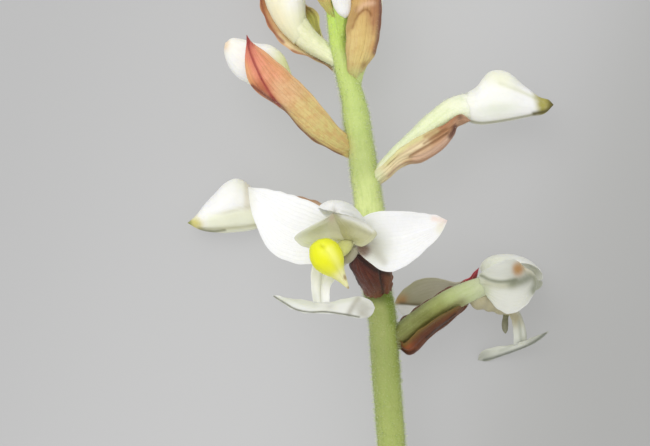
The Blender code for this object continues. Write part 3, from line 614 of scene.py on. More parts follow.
# The paler stop at 0.45 in the stalk's colours is painted light, lifting the shade the front flower casts on the stalk.
piece("flower_stem_detail", stalk,
      green_skin("stem_green_skin", [(0.0, (206, 214, 150)), (0.15, (196, 220, 116)), (0.21, (198, 228, 106)), (0.24, (202, 227, 115)), (0.262, (204, 222, 133)), (0.285, (200, 219, 128)), (0.34, (200, 217, 133)), (0.40, (193, 207, 130)), (0.45, (228, 240, 162)),
                                     (0.52, (208, 216, 138)), (0.585, (180, 188, 116)), (0.63, (166, 176, 106)), (0.68, (170, 182, 106)), (0.74, (178, 190, 110)), (0.86, (168, 186, 104)), (1.0, (154, 174, 92))],
                 line_colour=((158, 186, 90), 0.2), speck=((232, 238, 200), 0.28), marks=[("shade_right", (170, 190, 84), 0.18, 0.3), ("tan", (206, 190, 130), 0.65, 0.5), ("low", (140, 152, 74), 0.32, 0.9), ("margin", (140, 156, 54), 0.55, 0.4), ("shade_below_bract", (98, 108, 44), 0.92, 0.15),
                        ("shade_below_bract_right", (112, 136, 34), 0.8, 0.3)], by_length=False),
      ["flower_stem"])
hairs("flower_stem_hairs_upper", stalk, 7000, 3.6, 0.17, HAIR_PALE, 11, keep=lambda uv, q, n: (q[:, 1] < 205) * 1.0)
hairs("flower_stem_hairs_lower", stalk, 8500, 3.6, 0.17, HAIR_GREEN, 12, keep=lambda uv, q, n: (q[:, 1] >= 205) * 1.0)

# ---------------------------------------------------------------- skins that several pieces share
WHITE = (252, 252, 250)
OVARY_RIBS = lambda s, t: 1 + 0.028 * np.cos(6 * t + 3.2 * s) * np.clip(s / 0.1, 0, 1) * np.clip((1 - s) / 0.2, 0, 1) + 0.01 * swell(s * 3, t / 6.283, 9, 1, 3)


def ovary(name, path, radius, stops, nodes, seed, marks=(), hair=500, extra=None, down=HAIR_PALE, speck=0.30):
    s = tube(path, radius, 70, 44, shape=OVARY_RIBS)
    for key, value in (extra(s) if extra else {}).items():
        s.mark(key, value)
    piece(name, s, green_skin(name + "_skin", stops, marks=marks, speck=((244, 248, 222), speck), skin=0.25, line_colour=((176, 196, 110), 0.14)), nodes)
    if hair:
        hairs(name + "_hairs", s, hair, 2.2, 0.13, down, seed)
    return s


# ================================================================ front flower, which faces the eye
ovary("front_flower_ovary_detail", [(374, 300, -6), (377, 293, 2), (375.5, 276, 25), (366, 258, 58), (355, 246, 84)],
      [(0, 8), (0.3, 8.8), (0.75, 9.5), (1, 8)], [(0, (176, 198, 112)), (0.6, (206, 214, 160)), (1, (226, 230, 200))],
      ["front_flower_ovary"], 21, hair=250)

bract = leaf([(364, 294, -6), (361, 287, 12), (355.5, 276, 42), (349, 264, 72), (356, 253.5, 92)],
             [(377, 300, 2), (377, 294, 19), (373, 285, 48), (363.5, 269, 74), (356, 253.5, 92)],
             [(391, 292, -6), (393, 283, 12), (391, 270, 40), (378, 262, 68), (356, 253.5, 92)], 3.4, 104, 64,
             relief=lambda u, v: 0.5 * swell(u, v, 5, 1, 3) + 0.3 * np.cos(2 * np.pi * 4 * v), ragged=0.6, seed=3)
# painted shade: the carved fold is darkened along its crease
fold = bract.line([(380, 266), (381, 277), (382.5, 286), (383, 294)], 1.5)
bract.carve(fold, 1.6).mark("fold", fold)
bract.mark("light_side", bract.side((381, 262), (384, 296), 2.0) * 0.0 + step(sheet_of(bract.p)[:, 0], 383, 387))
# The rim mark darkens the bract's edges; along its upper edge it is painted shadow, where the right sepal shades the
# bract.
bract.mark("rim", np.maximum(bract.line([(349.5, 264), (356, 254), (359, 257), (368, 265), (378, 271), (389, 274)], 2.6),
                             bract.line([(349, 264), (355, 276), (361, 288)], 1.4)))
bract.mark("foot", step(sheet_of(bract.p)[:, 1], 291, 298))
piece("front_flower_bract_detail", bract,
      bract_skin("bract_dark_red_front", [(0.0, (114, 67, 31)), (0.2, (110, 49, 30)), (0.5, (98, 44, 26)), (0.8, (92, 38, 25)), (1.0, (78, 30, 20))],
                 marks=[("light_side", (120, 68, 38), 0.75, 0.3), ("rim", (42, 20, 13), 0.85, 0.2), ("fold", (34, 16, 11), 0.9, 0.2), ("foot", (132, 79, 36), 0.5, 0.7)],
                 mottle=((76, 34, 20), 0.5), dark=(60, 25, 16), light=(142, 77, 44), fibre=0.35),
      ["front_flower_bract"])
hairs("front_flower_bract_hairs", bract, 260, 2.0, 0.12, HAIR_DARK, 22)

left = leaf([(341, 224, 91), (318, 205, 87), (300, 197.5, 82), (285, 193, 77), (265, 188.5, 71), (248, 187, 65)],
            [(339, 234, 89), (318, 234, 86), (298, 231, 82), (279, 222, 77), (262, 206, 71), (248, 187, 65)],
            [(342, 244, 91), (325, 262, 90), (307, 264.5, 88), (290, 262, 84), (272, 253, 80), (258, 230, 74), (250, 205, 69), (248, 187, 65)],
            3.4, 110, 56, relief=sepal_relief(31), seed=31)
left.mark("tip", left.oval(248, 199, 8, 16, hard=1.2))
# painted shade near the sepal's base, beside the hood
left.mark("heart_shade", left.oval(322, 222, 14, 10, -30) * 0.8)
left.mark("rim", left.line([(247, 187), (265, 188.5), (285, 193), (300, 197.5), (318, 204)], 1.2))
piece("front_flower_left_sepal_detail", left,
      petal_skin("sepal_white_left", [(0, (240, 241, 236)), (0.3, (251, 251, 249)), (0.9, (252, 252, 250)), (1, (243, 243, 232))],
                 marks=[("tip", (228, 228, 206), 0.55, 0.4), ("heart_shade", (232, 234, 226), 0.6, 0.2), ("rim", (236, 236, 230), 0.6, 0.3)], veins=0.06),
      ["front_flower_left_sepal"])

right = leaf([(356, 226, 90), (363, 217, 90), (376, 212, 87), (400, 211, 83), (421, 213, 78), (438, 216, 74), (447.5, 220.5, 71)],
             [(356, 238, 88), (376, 241, 86), (400, 240, 81), (421, 233, 76), (437, 226, 73), (447.5, 220.5, 71)],
             [(355, 247.5, 89), (360.5, 255, 91), (369, 262, 91), (380, 270, 91), (389, 272, 90), (400, 269, 88), (413, 261, 84), (427, 248, 80), (440, 235, 76), (447.5, 220.5, 71)],
             3.4, 110, 56, relief=sepal_relief(32), seed=32)
# painted shade: the hollow at the sepal's base and the dip that runs down from it
right.mark("heart_shade", np.maximum(right.oval(376, 248, 15, 15, 20), right.oval(368, 226, 6, 9, 30) * 0.6))
right.mark("dip_shade", np.maximum(right.line([(368, 236), (375, 250), (384, 262)], 8, 4), right.line([(364, 224), (373, 232)], 2.5) * 0.7))
right.mark("tip", np.maximum(right.line([(434, 218.5), (441, 219.5), (447, 221)], 3.2, upper=False), right.oval(441, 224, 4, 4) * 0.4))
right.mark("cream", right.oval(441, 229, 5, 7, 20, 1.3, upper=False))
# the brown patch at the sepal's base is the bract's tip showing through, darkened as painted shade
right.mark("brown", right.oval(362.5, 249.5, 8.5, 7.5, 30, hard=1.8, upper=False))
piece("front_flower_right_sepal_detail", right,
      petal_skin("sepal_white_right", [(0, (232, 233, 224)), (0.2, (243, 244, 240)), (0.45, (251, 251, 250)), (1, (250, 249, 246))],
                 marks=[("heart_shade", (210, 211, 198), 0.8, 0.15), ("dip_shade", (188, 185, 168), 0.55, 0.2), ("cream", (240, 236, 212), 0.7, 0.4), ("tip", (248, 212, 194), 0.6, 0.6),
                        ("brown", (126, 98, 80), 0.95, 0.3)], veins=0.05),
      ["front_flower_right_sepal"])

hood = leaf([(343, 224, 91), (325, 216, 97), (318, 208, 108), (323, 209.5, 121), (334, 212, 134)],
            [(350, 217, 89), (346, 206, 95), (340, 202, 108), (335, 203.5, 122), (334, 212, 134)],
            [(356, 226, 91), (367, 227, 100), (366, 223.5, 111), (351, 216.5, 124), (334, 212, 134)], 3.0, 84, 56,
            relief=lambda u, v: 0.4 * swell(u, v * 0.5, 33, 0.5, 1.5) + 0.10 * np.cos(2 * np.pi * 6 * v), seed=33)
hood.mark("shade", np.maximum(hood.line([(348, 207), (356, 213), (361, 220)], 4.5) * 0.8, hood.oval(324, 214, 7, 4) * 0.1))
# painted shade: a grey line along the hood's lower right rim
hood.mark("lip", hood.line([(342, 211.5), (352, 214.5), (361, 221.5), (365, 225)], 1.5))
piece("front_flower_dorsal_sepal_detail", hood,
      petal_skin("sepal_white_hood", [(0, (238, 240, 232)), (0.4, (249, 250, 246)), (0.8, (250, 250, 246)), (1, (232, 228, 216))],
                 marks=[("shade", (214, 218, 204), 0.6, 0.2), ("lip", (198, 200, 186), 0.6, 0.2)], veins=0.06),
      ["front_flower_dorsal_sepal"])

# The petals' olive-grey colours are painted shade: they stand for the shaded inside of the hood, which faces the eye.
left_petal = leaf([(348, 238, 99.5), (342.5, 228.5, 111), (338, 219, 121.5), (333.5, 212.5, 130)],
                  [(341, 239, 102), (328, 236, 111), (314, 232, 120), (322, 224, 127), (333.5, 212.5, 130)],
                  [(338, 242, 102), (320, 249, 108), (302, 246, 117), (294.5, 238, 123), (306, 229, 129), (322, 220, 132), (333.5, 212.5, 130)],
                  2.4, 84, 52, relief=lambda u, v: 0.5 * swell(u, v * 0.5, 34, 0.5, 1.6) + 0.08 * np.cos(2 * np.pi * 5 * v), seed=34)
xy = sheet_of(left_petal.p)
# painted shade deep under the hood and along the fold; the paler rim is a painted highlight on the petal's lit edge
left_petal.mark("deep_shade", np.maximum(left_petal.oval(335, 226, 9, 15, -12, 1.3), left_petal.oval(322, 231, 12, 6, -25) * 0.5))
left_petal.mark("fold", left_petal.line([(333.5, 213), (336, 219), (339.5, 228), (344, 238)], 3.0))
left_petal.mark("brown", left_petal.oval(332, 217, 3.5, 5.5))
left_petal.mark("rim", np.maximum(left_petal.line([(330, 215), (318, 222.5), (306, 230), (296, 236)], 1.6), left_petal.line([(295, 239), (302, 245), (312, 248)], 1.8)))
piece("front_flower_left_petal_detail", left_petal,
      petal_skin("petal_grey_left", [(0, (220, 219, 186)), (0.35, (222, 224, 202)), (0.72, (210, 211, 192)), (1, (210, 206, 188))],
                 marks=[("deep_shade", (206, 201, 168), 0.7, 0.15), ("brown", (206, 176, 160), 0.55, 0.4), ("rim", (228, 229, 212), 0.45, 0.2), ("fold", (190, 185, 146), 0.3, 0.2)],
                 veins=0.10, vein_colour=(206, 208, 172), mottle=((212, 214, 178), 0.14), skin=0.25),
      ["front_flower_left_petal"])

right_petal = leaf([(343, 238, 102.5), (339, 229, 113), (336, 220, 123), (333.5, 213, 130.5)],
                   [(352, 239.5, 101), (358, 237, 108), (362, 231, 114), (354, 222.5, 123), (333.5, 213, 130.5)],
                   [(353, 243.5, 100), (362, 246.5, 103), (371, 241.5, 108), (377, 234, 112), (370, 226, 118), (355, 218, 125), (333.5, 213, 130.5)],
                   2.6, 84, 52, relief=lambda u, v: 0.5 * swell(u, v * 0.5, 35, 0.5, 1.6) + 0.12 * np.cos(2 * np.pi * 5 * v), seed=35)
# painted shade deep under the hood, along the fold and beneath the lit band; the lit band is a painted highlight
right_petal.mark("deep_shade", np.maximum(right_petal.oval(344, 229, 8, 13, -15, 1.3), right_petal.oval(370, 233, 6, 3, 20) * 0.8))
right_petal.mark("fold", right_petal.line([(335, 214), (338, 220), (342, 229), (346, 238)], 1.6))
right_petal.mark("lit", right_petal.line([(343, 216.5), (355, 220), (366, 226), (372, 230)], 3.4))
right_petal.mark("shade_beneath", right_petal.line([(350, 226), (360, 230), (370, 234)], 1.8) * 0.5)
right_petal.mark("rim", right_petal.line([(350, 243), (361, 245.5), (370, 241), (375, 236)], 2.2))
piece("front_flower_right_petal_detail", right_petal,
      petal_skin("petal_grey_right", [(0, (196, 194, 152)), (0.35, (210, 208, 172)), (0.75, (206, 204, 172)), (1, (204, 200, 178))],
                 marks=[("deep_shade", (184, 180, 136), 0.7, 0.15), ("rim", (206, 206, 176), 0.5, 0.2), ("lit", (240, 240, 230), 0.9, 0.1), ("shade_beneath", (176, 174, 144), 0.6, 0.2),
                        ("fold", (180, 174, 134), 0.25, 0.2)],
                 veins=0.10, vein_colour=(186, 184, 148), mottle=((192, 190, 154), 0.14), skin=0.25),
      ["front_flower_right_petal"])

column = tube([(351, 236, 88), (345, 246, 98), (338, 253, 108)], [(0, 5.5), (0.5, 7.2), (1, 6.4)], 30, 32, shape=lambda s, t: 1 + 0.04 * np.cos(3 * t))
column.mark("green", column.oval(346, 252, 6, 8))
piece("front_flower_column_detail", column,
      petal_skin("column_pale_green_front", [(0, (206, 202, 156)), (1, (214, 216, 136))], marks=[("green", (222, 226, 138), 0.7, 0.4)], veins=0.1, skin=0.2),
      ["front_flower_column"])

cap = tube([(318, 239.5, 129), (321.5, 247, 131), (327, 257, 132), (334, 267.5, 131), (341, 277, 129), (345, 283, 127), (348.5, 288.5, 125)],
           [(0, 0.5), (0.05, 8.2), (0.15, 13.4), (0.32, 15.9), (0.50, 13.4), (0.66, 7.8), (0.80, 4.5), (1, 0.8)], 90, 64, flat=0.92, start=True, end=True,
           shape=lambda s, t: 1 + 0.012 * swell(s * 2, t / 6.283, 8, 1, 2))
groove = cap.line([(321, 243), (330, 254), (337, 266), (345, 281)], 2.4, 1.2)
cap.carve(groove, 0.9)
cap.carve(cap.oval(323.5, 246.5, 2.2, 1.6, 20), 1.2)
# painted highlight: the pale stripe down the cap's middle, and the paler side of the cap
cap.mark("pale", np.maximum(cap.line([(330, 250), (337, 262), (342, 272), (347, 284)], 5.0, 3.5) * 0.85, cap.side((322, 272), (346, 262), 9) * 0.35))
cap.mark("tail", step(cap.uv[:, 0], 0.56, 0.74))
cap.mark("dot", np.maximum(cap.oval(345, 277.5, 1.6, 3.2, -20, 1.5), cap.oval(349, 288, 2.5, 2, 0, 1.5)))
cap.mark("spot", cap.oval(322.5, 246.5, 3.0, 1.6, 20))
cap.mark("edge", np.maximum(cap.line([(309, 248), (310, 260), (318, 267), (330, 275), (342, 285)], 2.5), cap.line([(336, 243), (342, 250), (344, 262)], 2.5)))
piece("front_flower_anther_cap_detail", cap,
      petal_skin("anther_yellow_front", [(0, (226, 232, 60)), (0.2, (238, 240, 20)), (0.5, (240, 240, 22)), (0.75, (240, 238, 120)), (1, (236, 226, 150))],
                 marks=[("pale", (248, 248, 150), 0.65, 0.2), ("tail", (242, 238, 196), 0.75, 0.2), ("edge", (222, 226, 40), 0.35, 0.2), ("spot", (206, 206, 30), 0.6, 0.2),
                        ("dot", (140, 100, 60), 0.75, 0.3)],
                 veins=0.04, vein_colour=(232, 232, 90), mottle=((226, 228, 40), 0.12), skin=0.3, rough=0.34),
      ["front_flower_anther_cap"])

# the lip: a claw that folds along its middle, two lobes across its end, and a small sac at its root
claw = leaf([(347, 253, 91), (330, 256, 97), (314, 262, 104), (311, 278, 112), (312.5, 297, 119), (314.5, 309, 124)],
            [(346, 259, 90), (334, 263, 94), (323, 272, 99.5), (320.5, 284, 108), (320.5, 298, 115.5), (321.5, 311, 121)],
            [(346, 264, 92), (342, 271, 98), (336, 279, 104), (330.5, 287, 112), (329.5, 298, 119), (329.5, 311, 124)], 2.6, 96, 44,
            relief=lambda u, v: -0.9 * bell(v - 0.05, 0.12) * np.clip(u / 0.2, 0, 1) + 0.35 * swell(u, v * 0.5, 36, 0.5, 2), seed=36)
# painted shade: the fold down the claw and the claw's part under the anther's tail are darkened
claw.mark("fold", claw.line([(322, 274), (320.5, 288), (321, 300), (322, 312)], 2.4, 1.8))
claw.mark("shade_beneath", claw.line([(330, 272), (336, 279), (342, 284)], 5) * 0.6)
lobes = leaf([(272, 295.5, 113), (285, 297, 115), (300, 299.5, 117), (316, 302, 119), (330, 302, 119), (345, 298.5, 118), (360, 296.5, 116), (368, 298.5, 115), (373, 303, 114), (375, 308, 113)],
             [(272, 295.5, 113), (285, 300.5, 118), (300, 305, 122), (316, 308.5, 124), (330, 308.5, 124), (345, 307.5, 123), (358, 307, 120), (368, 307.5, 117), (375, 308, 113)],
             [(272, 295.5, 113), (283, 303.5, 118), (295, 310.5, 123), (310, 313.5, 127), (325, 313.5, 128), (345, 316, 125), (359, 318.5, 121), (367.5, 317, 117), (373, 313, 114), (375, 308, 113)],
             2.6, 132, 36, both=True, relief=lambda u, v: 0.45 * swell(u * 2, v * 0.5, 37, 0.5, 2), seed=37, ragged=0.5)
sac = tube([(356, 247, 87), (351.5, 254.5, 90), (344.5, 263, 91)], [(0, 2), (0.15, 4.2), (0.5, 4.8), (0.85, 3.6), (1, 1.5)], 36, 36, start=True, end=True,
           shape=lambda s, t: 1 + 0.06 * np.cos(2 * t + 1))
lip = merged(claw, lobes, sac)
lip.mark("fold", np.concatenate([claw.marks["fold"], np.zeros(len(lobes.p) + len(sac.p))]))
lip.mark("lower_edge", np.concatenate([np.zeros(len(claw.p)), lobes.line([(274, 296.5), (284, 302.6), (296, 309.4), (310, 312), (325, 311.8), (345, 314.4), (359, 317)], 1.0, upper=False), np.zeros(len(sac.p))]))
lip.mark("lobe", np.concatenate([np.zeros(len(claw.p)), np.ones(len(lobes.p)), np.zeros(len(sac.p))]))
# painted shade: the right lobe's folded end and the stripe across it; the root mark is painted shade over the sac and
# the claw's root
lip.mark("lobe_end_shade", np.concatenate([np.zeros(len(claw.p)), np.maximum(lobes.oval(363, 307, 9, 8, 0, 1.5), lobes.oval(330, 306, 5, 4) * 0.5), np.zeros(len(sac.p))]))
lip.mark("root", np.concatenate([claw.oval(344, 259, 8, 7), np.zeros(len(lobes.p)), np.ones(len(sac.p))]))
lip.mark("shade", np.concatenate([claw.line([(315, 296), (313, 306)], 4) * 0.5 + claw.marks.get("shade_beneath", 0), np.maximum(lobes.line([(284, 299), (300, 302), (314, 304)], 4.0), lobes.line([(334, 303), (346, 300.5), (360, 298)], 2.2)), sac.oval(349, 262, 4, 6)]))
lip.mark("shade_stripe", np.concatenate([np.zeros(len(claw.p)), np.maximum(lobes.line([(358, 299), (353, 306), (349, 314)], 3.0), lobes.line([(362, 314), (368, 317)], 4) * 0.7), np.zeros(len(sac.p))]))
piece("front_flower_lip_detail", lip,
      petal_skin("lip_white_front", [(0, (238, 240, 230)), (0.3, (248, 249, 244)), (0.7, (250, 250, 248)), (1, (238, 240, 232))],
                 marks=[("lobe", (224, 225, 219), 0.8, 0.1), ("shade", (206, 210, 192), 0.5, 0.2), ("lobe_end_shade", (190, 189, 177), 0.85, 0.25), ("shade_stripe", (178, 175, 160), 0.8, 0.3),
                        ("fold", (204, 205, 194), 0.6, 0.2), ("root", (158, 150, 116), 0.85, 0.3), ("lower_edge", (112, 114, 96), 0.9, 0.3)],
                 veins=0.05, depth=0.0004),
      ["front_flower_lip"])

# ================================================================ lower flower, turned to the right and down
# The lower flower is turned away from the light: its sepals, petals, lip, column and anther cap get greyer, duller
# colours than the front flower's, as painted shade.
# painted shade: the dark line along the lower ovary's underside
low_ovary = ovary("lower_flower_ovary_detail", [(378, 350, -15), (386, 345, -10), (403, 333.5, -3), (431, 312.5, 0), (460, 295.5, -1), (484, 286, -6), (502, 282, -15)],
                  [(0, 9.6), (0.12, 11.0), (0.45, 11.3), (0.7, 10.9), (0.87, 9.2), (1, 5)],
                  [(0, (124, 134, 66)), (0.2, (130, 134, 72)), (0.40, (122, 126, 58)), (0.52, (152, 160, 88)), (0.62, (184, 196, 132)), (0.72, (196, 206, 156)), (0.84, (206, 212, 178)), (1, (212, 216, 190))],
                  ["lower_flower_ovary"], 41, hair=300, down=HAIR_GREEN, speck=0.08,
                  extra=lambda s: {"dark": s.line([(402, 345), (425, 328), (446, 312), (462, 303)], 6), "lit": s.line([(402, 324), (425, 308), (448, 293), (470, 281)], 3.0)},
                  marks=[("dark", (106, 88, 42), 0.6, 0.3), ("lit", (206, 212, 160), 0.22, 0.3)])

bract = leaf([(387, 330, -16), (400, 320.5, -9), (417.6, 306.5, -8), (434.5, 295.6, -9), (450, 287, -10), (464, 280.5, -12), (479, 267.5, -15)],
             [(394, 341, -16), (402, 348.5, -14), (408, 353, -12), (416.5, 348.5, -10), (425.5, 338, -10), (434, 330.6, -10), (444, 323.3, -10), (455, 313, -11), (464, 303.6, -13), (471, 288, -16), (479, 267.5, -15)],
             [(396, 337, 2), (404.5, 343, 10), (412, 336, 13.5), (421, 328, 15), (434, 319, 15.5), (446, 312, 15), (457, 307, 11), (464, 303.5, 0), (469, 293, -12), (479, 267.5, -15)], 2.6, 130, 72,
             relief=lambda u, v: 0.5 * swell(u, v, 42, 1, 3) + 0.25 * np.cos(2 * np.pi * 4 * v), ragged=0.7, seed=42)
bract.mark("edge", bract.line([(398, 321.5), (417.6, 307), (434.5, 295.6), (450, 287), (462, 281)], 2.6, upper=False))
bract.mark("tip", bract.line([(467, 279), (472, 274), (479, 267)], 4.0, 3, upper=False))
bract.mark("near", bract.line([(404.5, 343), (412, 336), (421, 328), (434, 319), (446, 312), (457, 306)], 3.6, upper=False))
bract.mark("foot", bract.oval(409, 347.5, 6, 5))
bract.mark("rim", np.maximum(bract.line([(402, 350), (408, 353), (415, 350.5)], 1.6, upper=False), bract.line([(426, 338), (434, 331), (444, 324), (455, 314)], 1.3, upper=False)))
piece("lower_flower_bract_detail", bract,
      bract_skin("bract_dark_red_lower", [(0.0, (116, 53, 26)), (0.25, (100, 53, 24)), (0.6, (102, 57, 26)), (0.85, (110, 53, 29)), (1.0, (150, 44, 70))],
                 marks=[("foot", (152, 80, 35), 0.85, 0.4), ("edge", (122, 84, 74), 0.8, 0.3), ("near", (122, 100, 42), 0.85, 0.5), ("tip", (196, 78, 92), 0.9, 0.2), ("rim", (46, 21, 9), 0.75, 0.2)],
                 mottle=((87, 38, 17), 0.4), dark=(69, 28, 14), light=(146, 80, 35), fibre=0.3),
      ["lower_flower_bract"])
hairs("lower_flower_bract_hairs", bract, 420, 2.0, 0.12, HAIR_DARK, 43)

far = leaf([(484, 277, -23), (470, 279, -27), (456, 282, -30), (440, 278, -32), (430, 277.5, -33), (420, 279, -34), (410, 284, -35), (401, 292, -35), (394, 304, -35)],
           [(484, 284, -24), (465, 290, -31), (445, 297, -36), (425, 303, -38), (410, 305, -38), (394, 304, -35)],
           [(483, 291, -24), (468, 303, -29), (450, 316, -32), (432, 324, -33), (414, 322, -34), (401, 314, -35), (394, 304, -35)],
           3.2, 96, 52, relief=sepal_relief(44), seed=44)
far.mark("tip", far.oval(401, 300, 7, 5, -30, 1.4))
far.mark("spot", far.line([(401, 304), (410, 305), (420, 305)], 2.2))
far.mark("white", far.side((394, 303), (420, 306.5), 1.2, upper=False) * step(sheet_of(far.p)[:, 1], 302.5, 306.5))
far.mark("pale", far.line([(415, 292), (430, 284), (445, 284)], 5) * 0.5)
piece("lower_flower_far_sepal_detail", far,
      petal_skin("sepal_grey_far", [(0, (206, 202, 184)), (0.4, (190, 185, 164)), (0.75, (176, 172, 144)), (0.95, (186, 176, 146)), (1, (180, 158, 120))],
                 marks=[("pale", (200, 197, 180), 0.6, 0.2), ("tip", (190, 140, 86), 0.75, 0.5), ("spot", (104, 92, 60), 0.85, 0.3), ("white", (255, 255, 253), 1.0, 0.05)],
                 veins=0.18, vein_colour=(160, 158, 136), mottle=((168, 166, 144), 0.2), skin=0.2),
      ["lower_flower_far_sepal"])

near = leaf([(479, 274.5, 0), (487, 268.5, 11), (497, 263, 26), (508, 260, 45), (517, 260.8, 62), (524, 267, 79)],
            [(481, 282, 4), (496, 285, 10), (510, 286.5, 22), (523, 285.5, 38), (529, 278, 59), (524, 267, 79)],
            [(483, 290, -2), (490, 301, 7), (499, 310, 18), (511, 313.5, 32), (525, 306.5, 44), (533.5, 296, 55), (537.5, 285, 64), (534.5, 274, 73), (524, 267, 79)],
            3.0, 84, 56, relief=sepal_relief(45), seed=45)
# painted shade: the dark band and line across the sepal's hollow; the top mark is a painted highlight on its lit upper
# part
near.mark("tip", near.oval(518, 269, 6, 7, 0, 1.6, upper=False))
near.mark("olive", near.line([(486, 283), (500, 285.5), (514, 284.5)], 4.0, upper=False))
near.mark("shade_band", np.maximum(near.line([(512, 283.5), (521, 281), (530, 277)], 5.0, upper=False), near.line([(534, 277), (536, 284), (534, 291)], 4.5, upper=False)))
near.mark("line", near.line([(481, 275.5), (489, 279.5), (497, 281.5), (506, 281.5), (516, 280)], 1.8))
near.mark("root", near.oval(483, 289, 7, 9, -20, 1.5))
near.mark("top", near.oval(500, 267, 12, 7, -10))
piece("lower_flower_near_sepal_detail", near,
      petal_skin("sepal_white_near", [(0, (212, 214, 198)), (0.3, (224, 225, 218)), (0.7, (219, 220, 213)), (1, (212, 206, 182))],
                 marks=[("root", (196, 202, 170), 0.8, 0.2), ("top", (238, 239, 232), 0.7, 0.1), ("olive", (186, 186, 160), 0.7, 0.2), ("shade_band", (138, 142, 122), 0.85, 0.25), ("line", (130, 134, 112), 0.85, 0.15), ("tip", (190, 138, 78), 0.95, 0.25)],
                 veins=0.08, skin=0.25),
      ["lower_flower_near_sepal"])

low_hood = leaf([(497, 273, -8), (508, 266, -9), (522, 263, -17), (536, 267, -29), (543, 276, -41), (539, 284, -51)],
                [(490, 271, -14), (492, 260, -19), (501, 256, -28), (516, 257, -39), (530, 265, -48), (539, 284, -51)],
                [(484, 275, -21), (480, 267, -31), (488, 262, -43), (504, 264, -51), (522, 272, -55), (539, 284, -51)],
                3.0, 72, 48, relief=lambda u, v: 0.4 * swell(u, v * 0.5, 46, 0.5, 1.5) + 0.1 * np.cos(2 * np.pi * 6 * v), seed=46)
low_hood.mark("shade", np.maximum(low_hood.oval(533, 275, 8, 9), low_hood.line([(486, 274), (497, 266), (509, 261)], 1.8) * 0.7))
piece("lower_flower_dorsal_sepal_detail", low_hood,
      petal_skin("sepal_white_low_hood", [(0, (226, 229, 214)), (0.4, (238, 239, 230)), (0.8, (238, 239, 228)), (1, (224, 225, 210))],
                 marks=[("shade", (196, 198, 182), 0.5, 0.2)], veins=0.08, skin=0.3),
      ["lower_flower_dorsal_sepal"])

near_petal = leaf([(498, 278, -15), (508, 272, -22), (520, 272, -34), (533, 280, -44)],
                  [(500, 283, -13), (514, 283, -17), (528, 283, -26), (535, 282, -36), (533, 280, -44)],
                  [(500, 288, -13), (515, 291, -11), (531, 292, -14), (541, 287, -21), (542, 281, -31), (533, 280, -44)],
                  2.6, 64, 40, relief=lambda u, v: 0.4 * swell(u, v * 0.5, 47, 0.5, 1.5), seed=47)
piece("lower_flower_near_petal_detail", near_petal,
      petal_skin("petal_grey_near", [(0, (152, 154, 134)), (0.5, (158, 161, 144)), (1, (184, 186, 172))], veins=0.14, vein_colour=(130, 134, 116), skin=0.2),
      ["lower_flower_near_petal"])

far_petal = leaf([(492, 279, -21), (498, 274, -33), (512, 275, -43), (528, 281, -48)],
                 [(490, 283, -23), (492, 283, -37), (498, 282, -47), (512, 281, -52), (528, 281, -48)],
                 [(488, 287, -25), (483, 290, -38), (481, 290, -48), (487, 288, -55), (504, 285, -56), (528, 281, -48)],
                 2.6, 64, 40, relief=lambda u, v: 0.4 * swell(u, v * 0.5, 48, 0.5, 1.5), seed=48)
piece("lower_flower_far_petal_detail", far_petal,
      petal_skin("petal_grey_far", [(0, (176, 176, 150)), (0.5, (190, 190, 166)), (1, (196, 197, 180))], veins=0.14, vein_colour=(150, 152, 130), skin=0.2),
      ["lower_flower_far_petal"])

claw = leaf([(486, 304, -12), (499, 311, -17), (509.5, 316, -24), (512.5, 325, -32), (513.5, 335, -37), (513.5, 346, -41)],
            [(486, 300, -18), (502, 307, -23), (514.5, 314, -30), (518.5, 325, -35), (520, 335, -39), (520.5, 346, -43)],
            [(486, 296, -22), (503, 303, -29), (519, 311.5, -35), (524.5, 324, -38), (526.5, 335, -41), (527.5, 344, -43)], 2.6, 84, 40,
            relief=lambda u, v: -0.4 * bell(v - 0.3, 0.16) * np.clip(u / 0.3, 0, 1) + 0.3 * swell(u, v * 0.5, 49, 0.5, 2), seed=49)
lobes = leaf([(477.5, 360, -62), (479.5, 354, -57), (486, 349, -53), (498, 346.5, -49), (512, 344.5, -43), (526, 340, -36), (540, 334.5, -26), (549, 331, -18)],
             [(477.5, 360, -62), (482, 358, -60), (491, 354.5, -56), (503, 351.5, -50), (515, 348.5, -44), (528, 343.5, -36), (540, 337, -27), (549, 331, -18)],
             [(477.5, 360, -62), (485, 361.5, -61.6), (498, 357.5, -58), (510, 353, -51), (521, 349, -44), (532, 344, -36), (542, 338, -27), (549, 331, -18)],
             2.6, 110, 30, both=True, relief=lambda u, v: 0.35 * swell(u * 2, v * 0.5, 50, 0.5, 2), seed=50, ragged=0.4)
sac = tube([(470, 294, -4), (479, 300, -9), (489, 303, -14), (499, 307.5, -20), (509, 313, -26)], [(0, 5), (0.12, 8), (0.4, 8.2), (0.7, 6.4), (0.9, 4.5), (1, 2)], 44, 36, start=True, end=True,
           shape=lambda s, t: 1 + 0.09 * np.cos(24 * s) + 0.05 * np.cos(3 * t))
lip = merged(claw, lobes, sac)
zero = [np.zeros(len(q.p)) for q in (claw, lobes, sac)]
